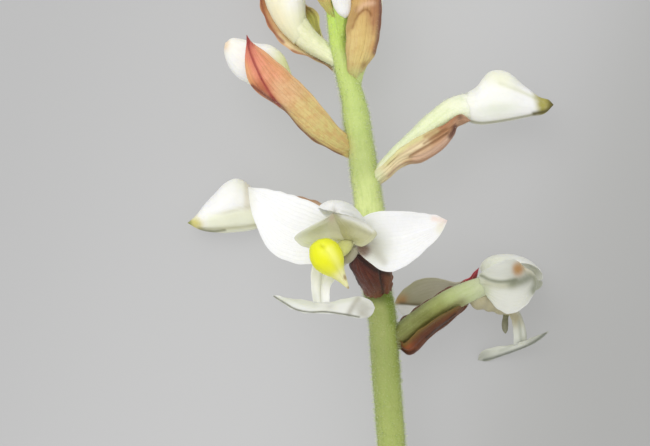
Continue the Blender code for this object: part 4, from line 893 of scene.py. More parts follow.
# painted shade: the top mark darkens the claw's top and the sac, where they lie in shade; the fold and the left lobe's
# tip are darkened too
lip.mark("top", np.concatenate([claw.oval(513, 317, 13, 9, 35, 1.4), zero[1], sac.up() * 1.0]))
lip.mark("fold", np.concatenate([claw.line([(519, 322), (520.5, 334), (521.5, 346)], 1.6), lobes.line([(500, 351), (508, 347.5), (513, 344)], 1.8), zero[2]]))
lip.mark("side", np.concatenate([claw.line([(521, 314), (525.5, 326), (527.5, 340)], 2.0), zero[1], zero[2]]))
lip.mark("lobe_tip_shade", np.concatenate([zero[0], lobes.oval(481, 357, 9, 6, -20, 1.3, False), zero[2]]))
lip.mark("ends", np.concatenate([zero[0], np.maximum(lobes.oval(480, 358, 9, 6, 0, 1.4), lobes.line([(530, 342), (542, 336), (549, 331)], 4)), zero[2]]))
lip.mark("lower_edge", np.concatenate([zero[0], lobes.line([(484, 360.2), (497, 356.7), (510, 352.2), (521, 348.2), (532, 343.2), (546, 333.4)], 1.6, upper=False), zero[2]]))
lip.mark("lobe", np.concatenate([zero[0], np.ones(len(lobes.p)), zero[2]]))
piece("lower_flower_lip_detail", lip,
      petal_skin("lip_grey_lower", [(0, (200, 203, 186)), (0.4, (226, 228, 218)), (0.8, (222, 224, 212)), (1, (200, 202, 190))],
                 marks=[("top", (172, 162, 122), 0.85, 0.3), ("side", (176, 178, 162), 0.7, 0.2), ("fold", (176, 180, 164), 0.6, 0.2), ("ends", (158, 160, 148), 0.6, 0.2), ("lobe_tip_shade", (142, 144, 133), 0.6, 0.2),
                        ("lobe", (200, 202, 190), 0.5, 0.1), ("lower_edge", (112, 116, 104), 0.85, 0.2)],
                 veins=0.06, depth=0.0004, skin=0.2),
      ["lower_flower_lip"])

column = tube([(495, 289, -18), (501, 292, -24), (505, 295, -28)], [(0, 5), (0.5, 5.5), (1, 5)], 24, 28)
piece("lower_flower_column_detail", column,
      petal_skin("column_pale_green_lower", [(0, (176, 182, 150)), (1, (160, 164, 128))], veins=0.1, skin=0.15),
      ["lower_flower_column"])
cap = tube([(511, 287, -38), (511, 296, -41), (509, 305, -43), (506, 315, -42), (505, 325, -40), (505.5, 333.5, -38)],
           [(0, 0.5), (0.08, 7), (0.25, 10.5), (0.45, 7), (0.6, 3.3), (0.84, 3.3), (0.95, 2.2), (1, 0.5)], 64, 40, start=True, end=True)
cap.mark("tail", step(cap.uv[:, 0], 0.6, 0.72))
piece("lower_flower_anther_cap_detail", cap,
      petal_skin("anther_yellow_lower", [(0, (196, 198, 110)), (0.45, (190, 190, 100)), (0.65, (156, 154, 116)), (1, (126, 126, 104))],
                 marks=[("tail", (138, 136, 112), 0.8, 0.2)], veins=0.05, mottle=((120, 120, 98), 0.2), skin=0.15),
      ["lower_flower_anther_cap"])

# ================================================================ left bud
ovary("left_bud_ovary_detail", [(374, 224, -2), (368, 223, -3), (347, 219.5, -13), (312, 214, -26), (284, 209.5, -36), (262, 208, -41)],
      [(0, 8), (0.4, 10), (0.75, 10.5), (1, 11)], [(0, (190, 212, 124)), (0.6, (214, 226, 160)), (1, (232, 236, 200))], ["left_bud_ovary"], 51, hair=350)
bract = leaf([(370, 214, -6), (345, 209, -12), (320, 202.5, -21), (305, 198, -26), (292, 194.5, -32), (276, 194, -37)],
             [(368, 238, 6), (345, 232, 1), (320, 223, -6), (300, 214, -14), (287, 204, -24), (276, 194, -37)],
             [(370, 238, -18), (345, 236, -27), (322, 232, -37), (302, 226, -44), (286, 213, -50), (276, 194, -37)], 3.2, 84, 48,
             relief=lambda u, v: 0.4 * swell(u, v, 52, 1, 3), ragged=0.6, seed=52)
bract.mark("edge", bract.line([(345, 209), (320, 202.5), (305, 198), (292, 194.5), (278, 194)], 1.6))
piece("left_bud_bract_detail", bract,
      bract_skin("bract_brown_left", [(0.0, (206, 190, 128)), (0.4, (206, 180, 148)), (0.8, (196, 158, 132)), (1.0, (168, 110, 90))],
                 marks=[("edge", (176, 140, 112), 0.6, 0.3)], mottle=((190, 120, 80), 0.35)),
      ["left_bud_bract"])
hairs("left_bud_bract_hairs", bract, 260, 2.0, 0.12, HAIR_BRACT, 53)
bud = pod([(263.5, 202, -41), (256, 193, -42), (248.5, 184.5, -42.5), (242.5, 179.8, -42.7), (236, 178.2, -43), (225, 183.5, -43.5), (213.5, 194.3, -43.7), (204, 205, -44), (196, 215.2, -44), (187.5, 223, -44)],
          [(264, 221, -41), (258, 228, -42), (248, 231, -43), (230, 232.5, -43.5), (212, 232.5, -44), (199, 229.5, -44), (187.5, 223, -44)],
          [(0, 10), (0.25, 17), (0.5, 19.5), (0.72, 15), (0.9, 7), (1, 1.5)], shape=lambda s, t: 1 + 0.012 * swell(s * 2, t / 6.283, 54, 1, 2))
seam = bud.line([(196, 219), (205, 215.5), (218, 214), (232, 211), (245, 207.5), (258, 206)], 2.0)
bud.carve(seam, 0.8)
low = bud.line([(199, 229), (212, 229.5), (230, 228.5), (246, 227), (258, 225)], 1.8)
bud.carve(low, 0.8)
xy = sheet_of(bud.p)
# painted shade: the lower face below the seam, the carved seam and the lower edge are darkened
bud.mark("lower", bud.side((196, 218), (246, 209), 3.5) * step(xy[:, 0], 200, 212))
bud.mark("seam", np.maximum(seam * 0.5 * step(xy[:, 0], 212, 226), low))
bud.mark("tip", bud.oval(194, 225, 10, 6.5, -10, 1.6, False))
bud.mark("tip_dark", bud.oval(188, 223.5, 4, 6, 0, 1.5, False))
bud.mark("crown", bud.oval(239, 183, 10, 8))
bud.mark("back", step(xy[:, 0], 241, 247) * step(xy[:, 1], 216, 204))
bud.mark("shadow", bud.line([(199, 229), (206, 231), (215, 231.3), (225, 230)], 2.0, 1.0, upper=False))
piece("left_bud_detail", bud,
      petal_skin("bud_white_left", [(0, (242, 243, 228)), (0.3, (252, 252, 247)), (0.8, (253, 253, 250)), (1, (240, 236, 190))],
                 marks=[("lower", (236, 238, 208), 0.75, 0.2), ("crown", (246, 249, 228), 0.5, 0.2), ("back", (226, 220, 202), 0.7, 0.2), ("seam", (182, 178, 134), 0.6, 0.2),
                        ("shadow", (116, 116, 74), 0.85, 0.2), ("tip", (206, 196, 104), 0.85, 0.4), ("tip_dark", (128, 136, 76), 0.85, 0.3)], veins=0.04, skin=0.35),
      ["left_bud"])

# ================================================================ right bud
ovary("right_bud_ovary_detail", [(368, 184, -3), (374, 178, 1), (381, 170.5, 2), (396, 157, 3), (417, 140.5, 1), (436, 124, -3), (453, 112.5, -6), (472, 106, -9)],
      [(0, 4.5), (0.1, 6), (0.2, 7.4), (0.45, 11.2), (0.7, 13.4), (0.92, 14.6), (1, 13.5)],
      [(0, (232, 232, 190)), (0.15, (240, 242, 212)), (0.4, (238, 246, 208)), (0.7, (238, 245, 204)), (0.88, (244, 248, 218)), (1, (250, 251, 238))],
      ["right_bud_ovary"], 61, hair=650,
      extra=lambda s: {"low": s.line([(400, 160), (424, 147), (444, 130), (458, 121)], 7)},
      marks=[("low", (216, 232, 164), 0.5, 0.3)])
bract = leaf([(371, 174, 8), (385, 162.5, 13), (398, 150, 17), (409, 142, 18), (422, 134.5, 17.5), (437, 127.5, 15), (450, 120.5, 12), (460, 114, 9), (471, 120.5, 4)],
             [(372, 187, 2), (388, 175, 5), (398, 165.5, 8), (409, 160.5, 10), (421, 158.5, 11), (434, 151, 11), (445.5, 141.5, 9), (452.5, 132, 7), (456, 125, 6), (462, 121.5, 5), (471, 120.5, 4)],
             [(366, 189, -9), (385, 178.5, -10), (396, 169, -13), (408, 160.5, -16), (419, 158.5, -19), (434, 151.5, -21), (447, 141.5, -21), (454, 132, -14), (456.5, 126, -6), (462, 124, -2), (471, 120.5, 1)], 3.0, 120, 64,
             relief=lambda u, v: 0.5 * swell(u, v, 62, 1, 3) + 0.3 * np.cos(2 * np.pi * 4 * v), ragged=0.5, seed=62)
f1 = bract.line([(424, 143.5), (434, 137), (445, 130), (453, 127)], 1.3)
f2 = bract.line([(410, 156.5), (418, 151.5), (427, 146), (437, 140), (448, 133)], 1.4)
f3 = bract.line([(388, 165), (400, 155.5), (412, 148), (424, 140.5)], 1.0)
bract.carve(f1, 0.9).carve(f2, 0.8).carve(f3, 0.4)
# painted shade: the carved folds are darkened along their creases
bract.mark("fold", np.maximum(np.maximum(f1 * 0.9, f2), f3 * 0.35))
bract.mark("lime", bract.line([(386, 163), (397, 152), (409, 143.5), (422, 136.5), (436, 130)], 3.4))
bract.mark("foot", bract.oval(376, 176, 10, 8, -45, 1.4))
bract.mark("cream", np.maximum(bract.line([(384, 170), (398, 159), (412, 150), (426, 142)], 4.5), bract.line([(388, 174), (400, 164)], 4.0)))
bract.mark("pink", bract.line([(416, 158), (429, 153.5), (441, 146), (449, 139)], 4.6))
bract.mark("rim", np.maximum(bract.line([(388, 176), (396, 168), (408, 161.5), (419, 161.5), (433, 155), (446, 145), (454, 134)], 1.2), bract.line([(454, 134), (455.5, 128)], 1.8)))
bract.mark("dark_end", bract.line([(450, 136.5), (453.5, 131), (455, 126.5)], 2.4, upper=False))
bract.mark("top_line", bract.line([(425, 136.5), (438, 129), (450, 121), (459, 114.5)], 2.0))
bract.mark("spot", bract.oval(460, 117, 3, 3.5))
piece("right_bud_bract_detail", bract,
      bract_skin("bract_brown_right", [(0.0, (234, 224, 176)), (0.25, (236, 214, 162)), (0.45, (206, 172, 126)), (0.7, (180, 132, 92)), (1.0, (188, 152, 126))],
                 marks=[("cream", (246, 230, 188), 0.75, 0.4), ("lime", (222, 220, 156), 0.75, 0.4), ("foot", (230, 236, 190), 0.8, 0.3), ("pink", (232, 194, 166), 0.85, 0.3), ("top_line", (166, 112, 78), 0.6, 0.4), ("fold", (140, 98, 60), 0.75, 0.3), ("rim", (170, 118, 92), 0.6, 0.3), ("dark_end", (84, 44, 36), 0.85, 0.2), ("spot", (110, 80, 60), 0.7, 0.3)],
                 mottle=((180, 130, 90), 0.3)),
      ["right_bud_bract"])
hairs("right_bud_bract_hairs", bract, 350, 2.0, 0.12, HAIR_BRACT, 63)
bud = pod([(468, 92, -9), (476, 87, -9), (483, 78, -9), (489, 72, -10), (496, 70, -10), (504, 71, -10), (513, 75.5, -11), (523, 84.4, -11), (539.6, 97, -12), (548.6, 99.7, -12), (553.7, 104.8, -12)],
          [(463, 115, -9), (469, 122, -9), (478, 124.8, -9), (498, 123.2, -10), (514, 120.4, -11), (529.4, 117.2, -11), (544.7, 113.6, -12), (553.7, 104.8, -12)],
          [(0, 14), (0.25, 19.5), (0.5, 19.5), (0.72, 12.5), (0.9, 6), (1, 1.5)], shape=lambda s, t: 1 + 0.012 * swell(s * 2, t / 6.283, 64, 1, 2))
seam = bud.line([(500, 83), (512, 87.5), (524, 92.5), (536, 98)], 1.8)
bud.carve(seam, 0.8)
low = bud.line([(470, 121.5), (480, 123.4), (498, 121.8), (514, 119), (530, 115.8), (544, 112.2)], 1.6)
bud.carve(low, 0.7)
xy = sheet_of(bud.p)
# painted shade: the carved seam and the lower edge are darkened
bud.mark("seam", seam * 0.8)
bud.mark("hump", bud.oval(500, 78, 18, 8, 15))
bud.mark("shade", bud.oval(498, 109, 20, 6, -6))
bud.mark("low", low)
bud.mark("tip", step(xy[:, 0] + 0.2 * (105 - xy[:, 1]), 532, 542))
bud.mark("tip_dark", np.maximum(step(xy[:, 0], 544, 552), bud.line([(534, 113.6), (545, 111.4), (551, 107.5)], 2.2, upper=False)))
piece("right_bud_detail", bud,
      petal_skin("bud_white_right", [(0, (250, 251, 236)), (0.12, (251, 252, 244)), (0.3, (251, 252, 244)), (0.85, (252, 252, 248)), (1, (236, 232, 190))],
                 marks=[("hump", (240, 241, 214), 0.85, 0.2), ("shade", (232, 236, 220), 0.8, 0.2), ("seam", (222, 224, 196), 0.8, 0.2), ("low", (150, 148, 104), 0.75, 0.2),
                        ("tip", (166, 158, 62), 0.95, 0.3), ("tip_dark", (94, 86, 38), 0.9, 0.3)], veins=0.04, skin=0.35),
      ["right_bud"])

# ================================================================ upper left bud, behind its long bract
ovary("upper_left_bud_ovary_detail", [(360, 157, -4), (342, 145, -2), (318, 124.5, 2), (295, 102, 3), (280, 86, 3)],
      [(0, 5), (0.35, 7), (0.7, 9), (1, 9.5)], [(0, (196, 216, 128)), (1, (228, 232, 176))], ["upper_left_bud_ovary"], 71, hair=250)
bract = leaf([(356, 139, -4), (343.5, 131.5, 8), (324.5, 110, 17), (306.5, 89, 21), (290, 72.5, 24), (270, 56, 28), (257, 46.5, 31), (250.5, 41, 33), (246.6, 34.5, 34)],
             [(352, 148, 3), (340, 143, 14), (321, 128, 26), (298, 108.5, 34), (277.5, 90.5, 38), (260.5, 68, 38), (249.5, 45, 35), (246.6, 34.5, 34)],
             [(353, 160, -4), (341, 155, 7), (325.5, 148, 14), (302, 131, 20), (281, 107, 25), (264, 96, 29), (251, 86, 32), (245, 68, 34), (245.8, 50, 34.5), (246.4, 42, 34.4), (246.6, 34.5, 34)], 3.0, 132, 72,
             relief=lambda u, v: 0.5 * swell(u, v, 72, 1, 3) + 0.2 * np.cos(2 * np.pi * 5 * v), ragged=0.5, seed=72)
keel = bract.line([(246.8, 36), (249.5, 50), (254.5, 63), (260, 75), (265, 85), (272, 95.5), (280, 105)], 1.1, 1.2)
bract.carve(bract.line([(247, 37), (249.5, 50), (254.5, 63), (260, 75), (265, 85), (272, 95.5), (280, 105)], 5.0) * step(sheet_of(bract.p)[:, 1], 38, 58), -1.4)
bract.carve(keel * step(sheet_of(bract.p)[:, 1], 36, 50), 0.9)
xy = sheet_of(bract.p)
bract.mark("keel", keel)
bract.mark("keel_side", bract.line([(248, 42), (251, 58), (257, 72), (264, 86), (273, 99)], 5.0, 3.0))
bract.mark("brown_low", bract.oval(260, 86, 9, 6, 35))
bract.mark("rust", np.maximum(bract.oval(265, 90, 9, 6, 50), bract.oval(272, 97, 8, 5, 45) * 0.8))
bract.mark("orange", np.maximum(bract.line([(245, 66), (248, 78), (256, 87)], 5), bract.line([(262, 52), (275, 64), (290, 78)], 5.0) * 0.6))
bract.mark("red_tip", step(xy[:, 1] + 0.5 * (xy[:, 0] - 250), 54, 36))
bract.mark("low_edge", bract.line([(252, 85.5), (258, 90), (268, 97.5), (281, 106.5), (292, 119.5), (302, 130.5), (325.5, 147.6), (341, 154.6)], 1.9, upper=False))
bract.mark("high_edge", bract.line([(256, 47), (270, 57), (290, 73.5), (306, 90), (324, 111), (343, 132)], 1.6))
piece("upper_left_bud_bract_detail", bract,
      bract_skin("bract_tan_upper_left", [(0.0, (216, 200, 128)), (0.2, (218, 204, 130)), (0.42, (224, 202, 134)), (0.56, (230, 188, 140)), (0.72, (240, 168, 132)), (0.9, (232, 138, 114)), (1.0, (156, 58, 66))],
                 marks=[("orange", (232, 172, 110), 0.6, 0.3), ("keel_side", (214, 112, 96), 0.5, 0.3), ("rust", (184, 104, 66), 0.75, 0.4), ("red_tip", (180, 66, 72), 0.7, 0.3), ("brown_low", (186, 104, 70), 0.7, 0.4), ("high_edge", (234, 192, 144), 0.4, 0.3),
                        ("low_edge", (116, 58, 46), 0.85, 0.35), ("keel", (152, 52, 52), 0.9, 0.15)],
                 mottle=((206, 142, 88), 0.38), fibre=0.25, dark=(180, 120, 76), vein=0.07),
      ["upper_left_bud_bract"])
hairs("upper_left_bud_bract_hairs", bract, 700, 2.0, 0.12, HAIR_BRACT, 73)
bud = pod([(294, 82, 3), (289, 67, 3), (283, 54.5, 3), (271, 45.5, 3), (256, 43, 3), (241, 39, 3), (232, 38, 3), (225, 43, 3)],
          [(279, 93, 3), (263, 89, 3), (249, 84, 3), (237, 77, 3), (228, 65, 3), (224, 51, 3), (225, 43, 3)],
          [(0, 10.5), (0.3, 16), (0.55, 16), (0.8, 10), (1, 2)], shape=lambda s, t: 1 + 0.012 * swell(s * 2, t / 6.283, 74, 1, 2))
bud.mark("green", bud.oval(288, 66, 12, 16, -30))
bud.mark("tip", bud.oval(225, 44, 5, 7, 0, 1.4))
piece("upper_left_bud_detail", bud,
      petal_skin("bud_white_upper_left", [(0, (230, 234, 182)), (0.25, (240, 242, 208)), (0.5, (252, 252, 246)), (1, (250, 248, 238))],
                 marks=[("green", (222, 226, 160), 0.7, 0.2), ("tip", (240, 208, 168), 0.7, 0.3)], veins=0.05, skin=0.35),
      ["upper_left_bud"])

# ================================================================ top left bud, in front of its bract
ovary("top_left_bud_ovary_detail", [(346, 66, -2), (336, 58.5, -4), (325, 51.5, -8), (315, 45, -11), (306.5, 38, -13), (297.5, 27.5, -15), (291, 16, -16)],
      [(0, 7), (0.17, 8), (0.35, 9.4), (0.5, 10.4), (0.65, 11.6), (0.83, 13), (1, 12)], [(0, (238, 246, 186)), (0.2, (244, 248, 206)), (0.35, (242, 244, 206)), (0.7, (244, 244, 208)), (1, (246, 245, 214))],
      ["top_left_bud_ovary"], 81, hair=350)
bract = leaf([(346, 82, -8), (333, 71.5, -9), (326, 65.5, -10), (316, 60, -11), (304, 56, -12), (292, 51.5, -14), (281, 42.5, -15.5), (272, 32, -17), (265.5, 20, -18), (261, 5, -19), (259, -20, -21), (264, -46, -24)],
             [(348, 69, -18), (335, 57, -27), (317, 42, -34), (301, 16, -40), (287, -8, -42), (275, -28, -40), (264, -46, -24)],
             [(346, 66, -12), (333, 52.5, -18), (322.5, 39.5, -22), (319.5, 27, -25), (318.5, 15, -27), (313.5, 9.5, -28), (306, 6, -29), (293, -8, -30), (264, -46, -24)], 3.0, 110, 64,
             relief=lambda u, v: 0.5 * swell(u, v, 82, 1, 3) + 0.2 * np.cos(2 * np.pi * 5 * v), ragged=0.6, seed=82)
xy = sheet_of(bract.p)
bract.mark("rim", bract.line([(259, -20), (261, 5), (266, 21), (272, 32), (281, 42.5), (292, 51.5), (304, 57.5)], 5.0))
bract.mark("dark_rim", np.maximum(bract.line([(261, 0), (264, 13), (273, 31), (283, 42)], 1.8, upper=False), bract.line([(292, 50.6), (304, 55.4), (316, 59.4), (326, 65), (333, 71)], 1.5, upper=False) * 0.8))
bract.mark("olive", bract.oval(314, 24, 9, 15, -15, 2.0))
bract.mark("cream", bract.line([(280, 36), (287, 42.5), (294, 47), (305, 52), (316, 56.5), (326, 62.5)], 3.4, 2.0))
piece("top_left_bud_bract_detail", bract,
      bract_skin("bract_brown_top_left", [(0.0, (222, 218, 160)), (0.25, (232, 218, 170)), (0.45, (234, 208, 164)), (0.7, (226, 184, 140)), (1.0, (160, 90, 70))],
                 marks=[("rim", (214, 152, 106), 0.75, 0.3), ("cream", (255, 236, 194), 0.85, 0.2), ("olive", (240, 240, 142), 0.95, 0.3), ("dark_rim", (140, 74, 56), 0.85, 0.3)],
                 mottle=((190, 120, 78), 0.28)),
      ["top_left_bud_bract"])
hairs("top_left_bud_bract_hairs", bract, 500, 2.0, 0.12, HAIR_BRACT, 83)
bud = pod([(305.5, 27, -15), (305.5, 12, -15), (305.8, -4, -16), (302, -22, -17), (294, -38, -18), (281, -54, -19)],
          [(294, 44.5, -15), (277.5, 26.5, -15), (266.8, 7, -16), (263, -14, -17), (267, -35, -18), (281, -54, -19)],
          [(0, 12), (0.3, 17), (0.6, 16.5), (0.82, 9), (1, 1.5)], shape=lambda s, t: 1 + 0.012 * swell(s * 2, t / 6.283, 84, 1, 2))
xy = sheet_of(bud.p)
bud.mark("white", bud.oval(296, 0, 12, 14))
bud.mark("yellow", bud.oval(278, 18, 8, 20, -20) * 0.8)
piece("top_left_bud_detail", bud,
      petal_skin("bud_cream_top_left", [(0, (244, 244, 208)), (0.4, (248, 244, 216)), (1, (244, 238, 206))],
                 marks=[("white", (252, 252, 248), 0.85, 0.1), ("yellow", (246, 232, 186), 0.6, 0.3)], veins=0.06, skin=0.3),
      ["top_left_bud"])

# ================================================================ top right bud, behind its bract
ovary("top_right_bud_ovary_detail", [(352, 96, -6), (357, 71, 0), (364, 50, 2), (367, 28, 3)],
      [(0, 6), (0.4, 7.5), (1, 10)], [(0, (196, 216, 126)), (1, (228, 230, 180))], ["top_right_bud_ovary"], 91, hair=150)
bract = leaf([(348, 76, 2), (347.2, 66, 12), (345.8, 48, 16), (346.2, 25, 18), (348.5, 5, 20), (353, -16, 21), (362, -46, 22)],
             [(354.5, 79, 2), (357, 68, 15), (363.5, 48, 24), (366.5, 25, 27), (368, 0, 28), (367.5, -20, 27), (362, -46, 22)],
             [(361, 74, -2), (366, 65, 6), (375, 54, 11), (379.5, 36, 14), (381.5, 15, 16), (381, -5, 18), (377, -24, 20), (362, -46, 22)], 3.2, 120, 64,
             relief=lambda u, v: 0.5 * swell(u, v, 92, 1, 3) + 0.2 * np.cos(2 * np.pi * 5 * v), ragged=0.5, seed=92)
fold = bract.line([(352, 28), (355, 20), (360.5, 12.5), (365.5, 9.5), (369.5, 11.5), (371.5, 15.5)], 1.4)
bract.carve(fold, 1.1)
bract.carve(bract.line([(357, 12), (363.5, 5.5), (371, 4.5)], 3.2), -1.2)
xy = sheet_of(bract.p)
# painted shade along the carved fold; the pink line above it is a painted highlight on the raised ridge, with the
# bract's own pink tint
bract.mark("fold", fold)
bract.mark("left_margin", bract.line([(347, 72), (346, 50), (347, 25), (349.5, 5)], 3.5))
bract.mark("shade_left", bract.line([(349, 30), (352, 18), (356, 8)], 3.2))
bract.mark("pink", bract.line([(358, 10), (364, 5), (373, 3)], 3.0))
bract.mark("red_side", bract.side((372, 60), (368, -10), 4.0) * step(xy[:, 1], 44, 22))
bract.mark("red_side", bract.oval(373, 12, 8, 20) * 0.8)
bract.mark("right_edge", bract.line([(380, -20), (380.7, 0), (380.2, 18), (378.7, 36), (374.7, 53)], 2.4, upper=False))
bract.mark("orange", bract.oval(374, 47, 4, 9, 12))
bract.mark("pale", bract.oval(355, 76, 8, 7))
bract.mark("ochre", bract.line([(360, 60), (364, 40), (366, 20)], 6) * 0.7)
bract.mark("spot", bract.oval(364, 65, 2.6, 4.0, 20))
piece("top_right_bud_bract_detail", bract,
      bract_skin("bract_tan_top_right", [(0.0, (216, 214, 140)), (0.15, (224, 206, 138)), (0.4, (226, 200, 132)), (0.6, (212, 178, 112)), (0.8, (196, 146, 96)), (1.0, (160, 92, 68))],
                 marks=[("ochre", (216, 188, 112), 0.6, 0.4), ("left_margin", (190, 162, 108), 0.7, 0.3), ("pale", (212, 210, 140), 0.8, 0.3), ("red_side", (170, 104, 76), 0.7, 0.5),
                        ("orange", (216, 156, 96), 0.7, 0.3), ("pink", (226, 186, 152), 0.75, 0.4), ("spot", (158, 120, 68), 0.6, 0.4), ("shade_left", (168, 128, 74), 0.6, 0.4), ("fold", (146, 98, 52), 0.65, 0.35),
                        ("right_edge", (112, 66, 58), 0.8, 0.2)],
                 mottle=((196, 152, 88), 0.36), fibre=0.3, dark=(180, 134, 78), vein=0.07),
      ["top_right_bud_bract"])
hairs("top_right_bud_bract_hairs", bract, 550, 2.0, 0.12, HAIR_BRACT, 93)
bud = pod([(356, 29, 3), (353, 14, 3), (352.5, -4, 3), (356, -22, 4), (365, -40, 5)],
          [(379, 29, 3), (382, 12, 3), (381.5, -8, 3), (376, -26, 4), (365, -40, 5)],
          [(0, 9.5), (0.35, 14.5), (0.65, 13), (0.85, 7), (1, 1.5)])
piece("top_right_bud_detail", bud, petal_skin("bud_white_top_right", [(0, (236, 238, 200)), (1, (250, 248, 238))], veins=0.05, skin=0.3), ["top_right_bud"])

# ================================================================ top front bud, its bract to the left
ovary("top_front_bud_ovary_detail", [(340.5, 47, -3), (342, 27, 8), (341, 5, 17)], [(0, 5), (0.5, 6), (1, 8)], [(0, (200, 226, 112)), (1, (190, 218, 102))],
      ["top_front_bud_ovary"], 101, hair=100)
bract = leaf([(332, 19, -3), (324.5, 9, -2), (316, -3, 2), (314, -22, 6), (318, -44, 12)],
             [(334, 18, 5), (328, 7.5, 10), (320.5, -5, 15), (317, -20, 17), (318, -44, 12)],
             [(336, 15.5, 8), (332.5, 6.5, 15), (329, -6, 22), (326, -20, 23), (318, -44, 12)], 2.6, 84, 48,
             relief=lambda u, v: 0.4 * swell(u, v, 102, 1, 3), ragged=0.5, seed=102)
piece("top_front_bud_bract_detail", bract,
      bract_skin("bract_tan_top_front", [(0.0, (188, 214, 104)), (0.22, (206, 204, 112)), (0.4, (216, 186, 112)), (1.0, (186, 128, 84))],
                 edge=(0.7, (188, 150, 90), 0.5), mottle=((196, 156, 90), 0.3)),
      ["top_front_bud_bract"])
bud = pod([(344.5, 18, 18), (339, 14.5, 19), (334.5, 8.5, 21), (331.5, 0, 23.5), (329.8, -12, 26), (329, -23, 28), (331, -35, 29), (338, -50, 30)],
          [(346, 18, 18), (349.5, 14, 19), (351, 7.5, 21), (351.3, -1, 23.5), (351.5, -12, 26), (350.5, -24, 28), (347, -37, 29), (338, -50, 30)],
          [(0, 1.2), (0.1, 6), (0.25, 8), (0.45, 11), (0.7, 10), (0.88, 5.5), (1, 1.5)])
piece("top_front_bud_detail", bud, petal_skin("bud_white_top_front", [(0, (252, 252, 248)), (1, (250, 250, 244))], veins=0.05, skin=0.3), ["top_front_bud"])


# ================================================================ smaller buds to the tip, past what the picture shows
def upper_bud(name, foot, outwards, length, lean=1.0):
    k = np.radians(outwards)
    out = np.array([np.cos(k), 0.0, np.sin(k)])
    up = unit(np.array([-0.15, -1.0, -0.22]))
    side = np.cross(out, up)
    foot = np.array(foot, float)

    def place(a, b):
        return foot + out * a * length + up * b * length

    path = [place(0, 0), place(0.10 + 0.10 * lean, 0.16), place(0.10 + 0.20 * lean, 0.42), place(0.09 + 0.27 * lean, 0.75), place(0.05 + 0.30 * lean, 1)]
    width = [(0, 0.09 * length), (0.3, 0.13 * length), (0.62, 0.175 * length), (0.85, 0.11 * length), (1, 0.02 * length)]
    bud = tube(path, width, 64, 40, end=True, shape=lambda s, t: 1 + 0.03 * np.cos(3 * t + 1.2) * step(s, 0.3, 0.6) + 0.01 * swell(s * 2, t / 6.283, int(length), 1, 2))
    bud.mark("tip", step(bud.uv[:, 0], 0.82, 0.98))
    piece(name + "_detail", bud,
          petal_skin(name + "_skin", [(0, (206, 220, 140)), (0.3, (232, 236, 184)), (0.6, (246, 246, 226)), (1, (240, 238, 206))], marks=[("tip", (206, 200, 130), 0.6, 0.4)], veins=0.07, skin=0.3),
          [name])
    clear = 0.175 * length + 4.0
    rail = [place(0, -0.1), place(0.12 + 0.10 * lean, 0.10), place(0.12 + 0.20 * lean, 0.42), place(0.12 + 0.27 * lean, 0.74)]
    end = place(0.06 + 0.28 * lean, 1.0) + out * 0.5 * clear
    left, middle, right = ([q + d * clear * w for q, w in zip(rail, share)] + [end]
                           for d, share in ((side, (0.5, 0.8, 1.0, 0.8)), (out, (0.8, 0.95, 1.15, 1.1)), (-side, (0.5, 0.8, 1.0, 0.8))))
    b = leaf(left, middle, right, 3.0, 72, 44, relief=lambda u, v: 0.4 * swell(u, v, int(length) + 1, 1, 3) - 0.5 * bell(v, 0.08), ragged=0.5, seed=int(length))
    piece(name + "_bract_detail", b,
          bract_skin(name + "_bract_skin", [(0.0, (200, 206, 124)), (0.3, (212, 184, 116)), (0.65, (210, 150, 104)), (0.9, (190, 104, 80)), (1.0, (140, 58, 58))],
                     rib=(0.10, (150, 78, 56), 0.6), edge=(0.75, (196, 120, 84), 0.5), mottle=((190, 124, 80), 0.3)),
          [name + "_bract"])
    hairs(name + "_bract_hairs", b, 220, 1.8, 0.12, HAIR_BRACT, int(length) + 200, keep=lambda uv, q, n: (n[:, 2] > -0.3) * 1.0)


upper_bud("upper_bud_1", (332, -14, -4), 238, 66, 0.7)
upper_bud("upper_bud_2", (328, -36, -7), 12, 58)
upper_bud("upper_bud_3", (325, -58, -13), 122, 52)
upper_bud("upper_bud_4", (322, -80, -19), 200, 46)
upper_bud("upper_bud_5", (319, -99, -26), 325, 40)
upper_bud("upper_bud_6", (315.5, -120, -34), 72, 34)
tip = tube([(309.5, -147, -45), (307.5, -162, -50.5), (304.5, -178, -53.9), (300, -197, -55.6)], [(0, 4), (0.22, 8.2), (0.5, 10), (0.8, 6.4), (1, 1)], 64, 44, end=True,
           shape=lambda s, t: 1 + 0.04 * np.cos(3 * t) * step(s, 0.1, 0.4))
piece("tip_bud_detail", tip, bract_skin("tip_bud_skin", [(0.0, (200, 204, 124)), (0.4, (208, 172, 112)), (0.8, (196, 122, 86)), (1.0, (140, 62, 58))], mottle=((190, 124, 80), 0.3)),
      ["tip_bud"])
hairs("tip_bud_hairs", tip, 180, 1.8, 0.12, HAIR_BRACT, 301, keep=lambda uv, q, n: (n[:, 2] > -0.3) * 1.0)

# ---------------------------------------------------------------- floor, light and camera
floor_mesh = bpy.data.meshes.new("floor")
floor_mesh.from_pydata([(-4, -4, -0.00005), (4, -4, -0.00005), (4, 4, -0.00005), (-4, 4, -0.00005)], [], [(0, 1, 2, 3)])
floor = bpy.data.objects.new("floor", floor_mesh)
bpy.context.scene.collection.objects.link(floor)
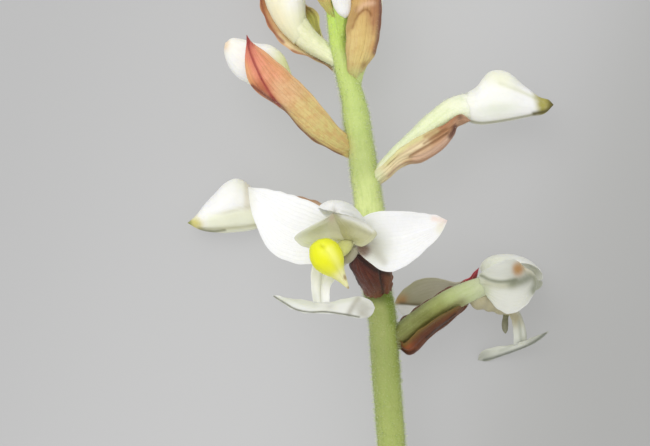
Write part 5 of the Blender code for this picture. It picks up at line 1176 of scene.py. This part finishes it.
# The floor glows a little through its emission, painted light that lifts the shadows on it; its tone falls off towards
# the lower right as a painted falloff of light.
k = Nodes("floor_pale_grey", 0.85, shine=0.15)
place = k.t.nodes.new("ShaderNodeSeparateXYZ")
k.t.links.new(k.c.outputs["Object"], place.inputs[0])
light_falloff = k.math("MULTIPLY_ADD", place.outputs[0], 2.456, k.math("MULTIPLY_ADD", place.outputs[1], -0.86, 0.5124), clamp=True)
tone = k.ramp(light_falloff, [(0.0, (118, 118, 118)), (0.34, (115, 115, 115)), (0.41, (115, 115, 115)), (0.45, (120, 120, 120)), (0.49, (123, 123, 123)), (0.525, (122, 122, 122)), (0.548, (117, 117, 117)), (0.566, (110, 110, 109)), (0.59, (106, 106, 105)), (0.64, (106, 106, 105)), (0.8, (112, 112, 111)), (1.0, (118, 118, 118))], "B_SPLINE")
k.t.links.new(tone, k.b.inputs["Emission Color"])
k.b.inputs["Emission Strength"].default_value = 1.92
floor_mesh.materials.append(k.done(tone))

world = bpy.data.worlds.new("studio")
world.use_nodes = True
world.node_tree.nodes["Background"].inputs["Color"].default_value = (1.0, 1.0, 1.0, 1.0)
world.node_tree.nodes["Background"].inputs["Strength"].default_value = 0.80
bpy.context.scene.world = world


def softbox(name, place, towards, size, power, colour=(1.0, 1.0, 1.0)):
    data = bpy.data.lights.new(name, "AREA")
    data.shape, data.size, data.energy, data.color = "DISK", size, power, colour
    light = bpy.data.objects.new(name, data)
    bpy.context.scene.collection.objects.link(light)
    light.location = place
    d = unit(np.array(place, float) - np.array(towards, float))
    light.rotation_mode = "QUATERNION"
    from mathutils import Vector
    light.rotation_quaternion = Vector(d).to_track_quat("Z", "Y")
    light.visible_camera = False
    return light


softbox("softbox_front", (-0.35, 0.45, 1.0), (0, 0, 0), 0.9, 4.6)

camera = bpy.data.objects.new("camera", bpy.data.cameras.new("camera"))
bpy.context.scene.collection.objects.link(camera)
camera.data.sensor_width = 36.0
camera.data.lens = 36.0 * EYE / 650.0
camera.data.clip_start, camera.data.clip_end = 0.01, 20.0
camera.location = (SHIFT[0] * UNIT, SHIFT[1] * UNIT, (EYE + LIFT) * UNIT)
bpy.context.scene.camera = camera
bpy.context.scene.view_settings.view_transform = "Standard"
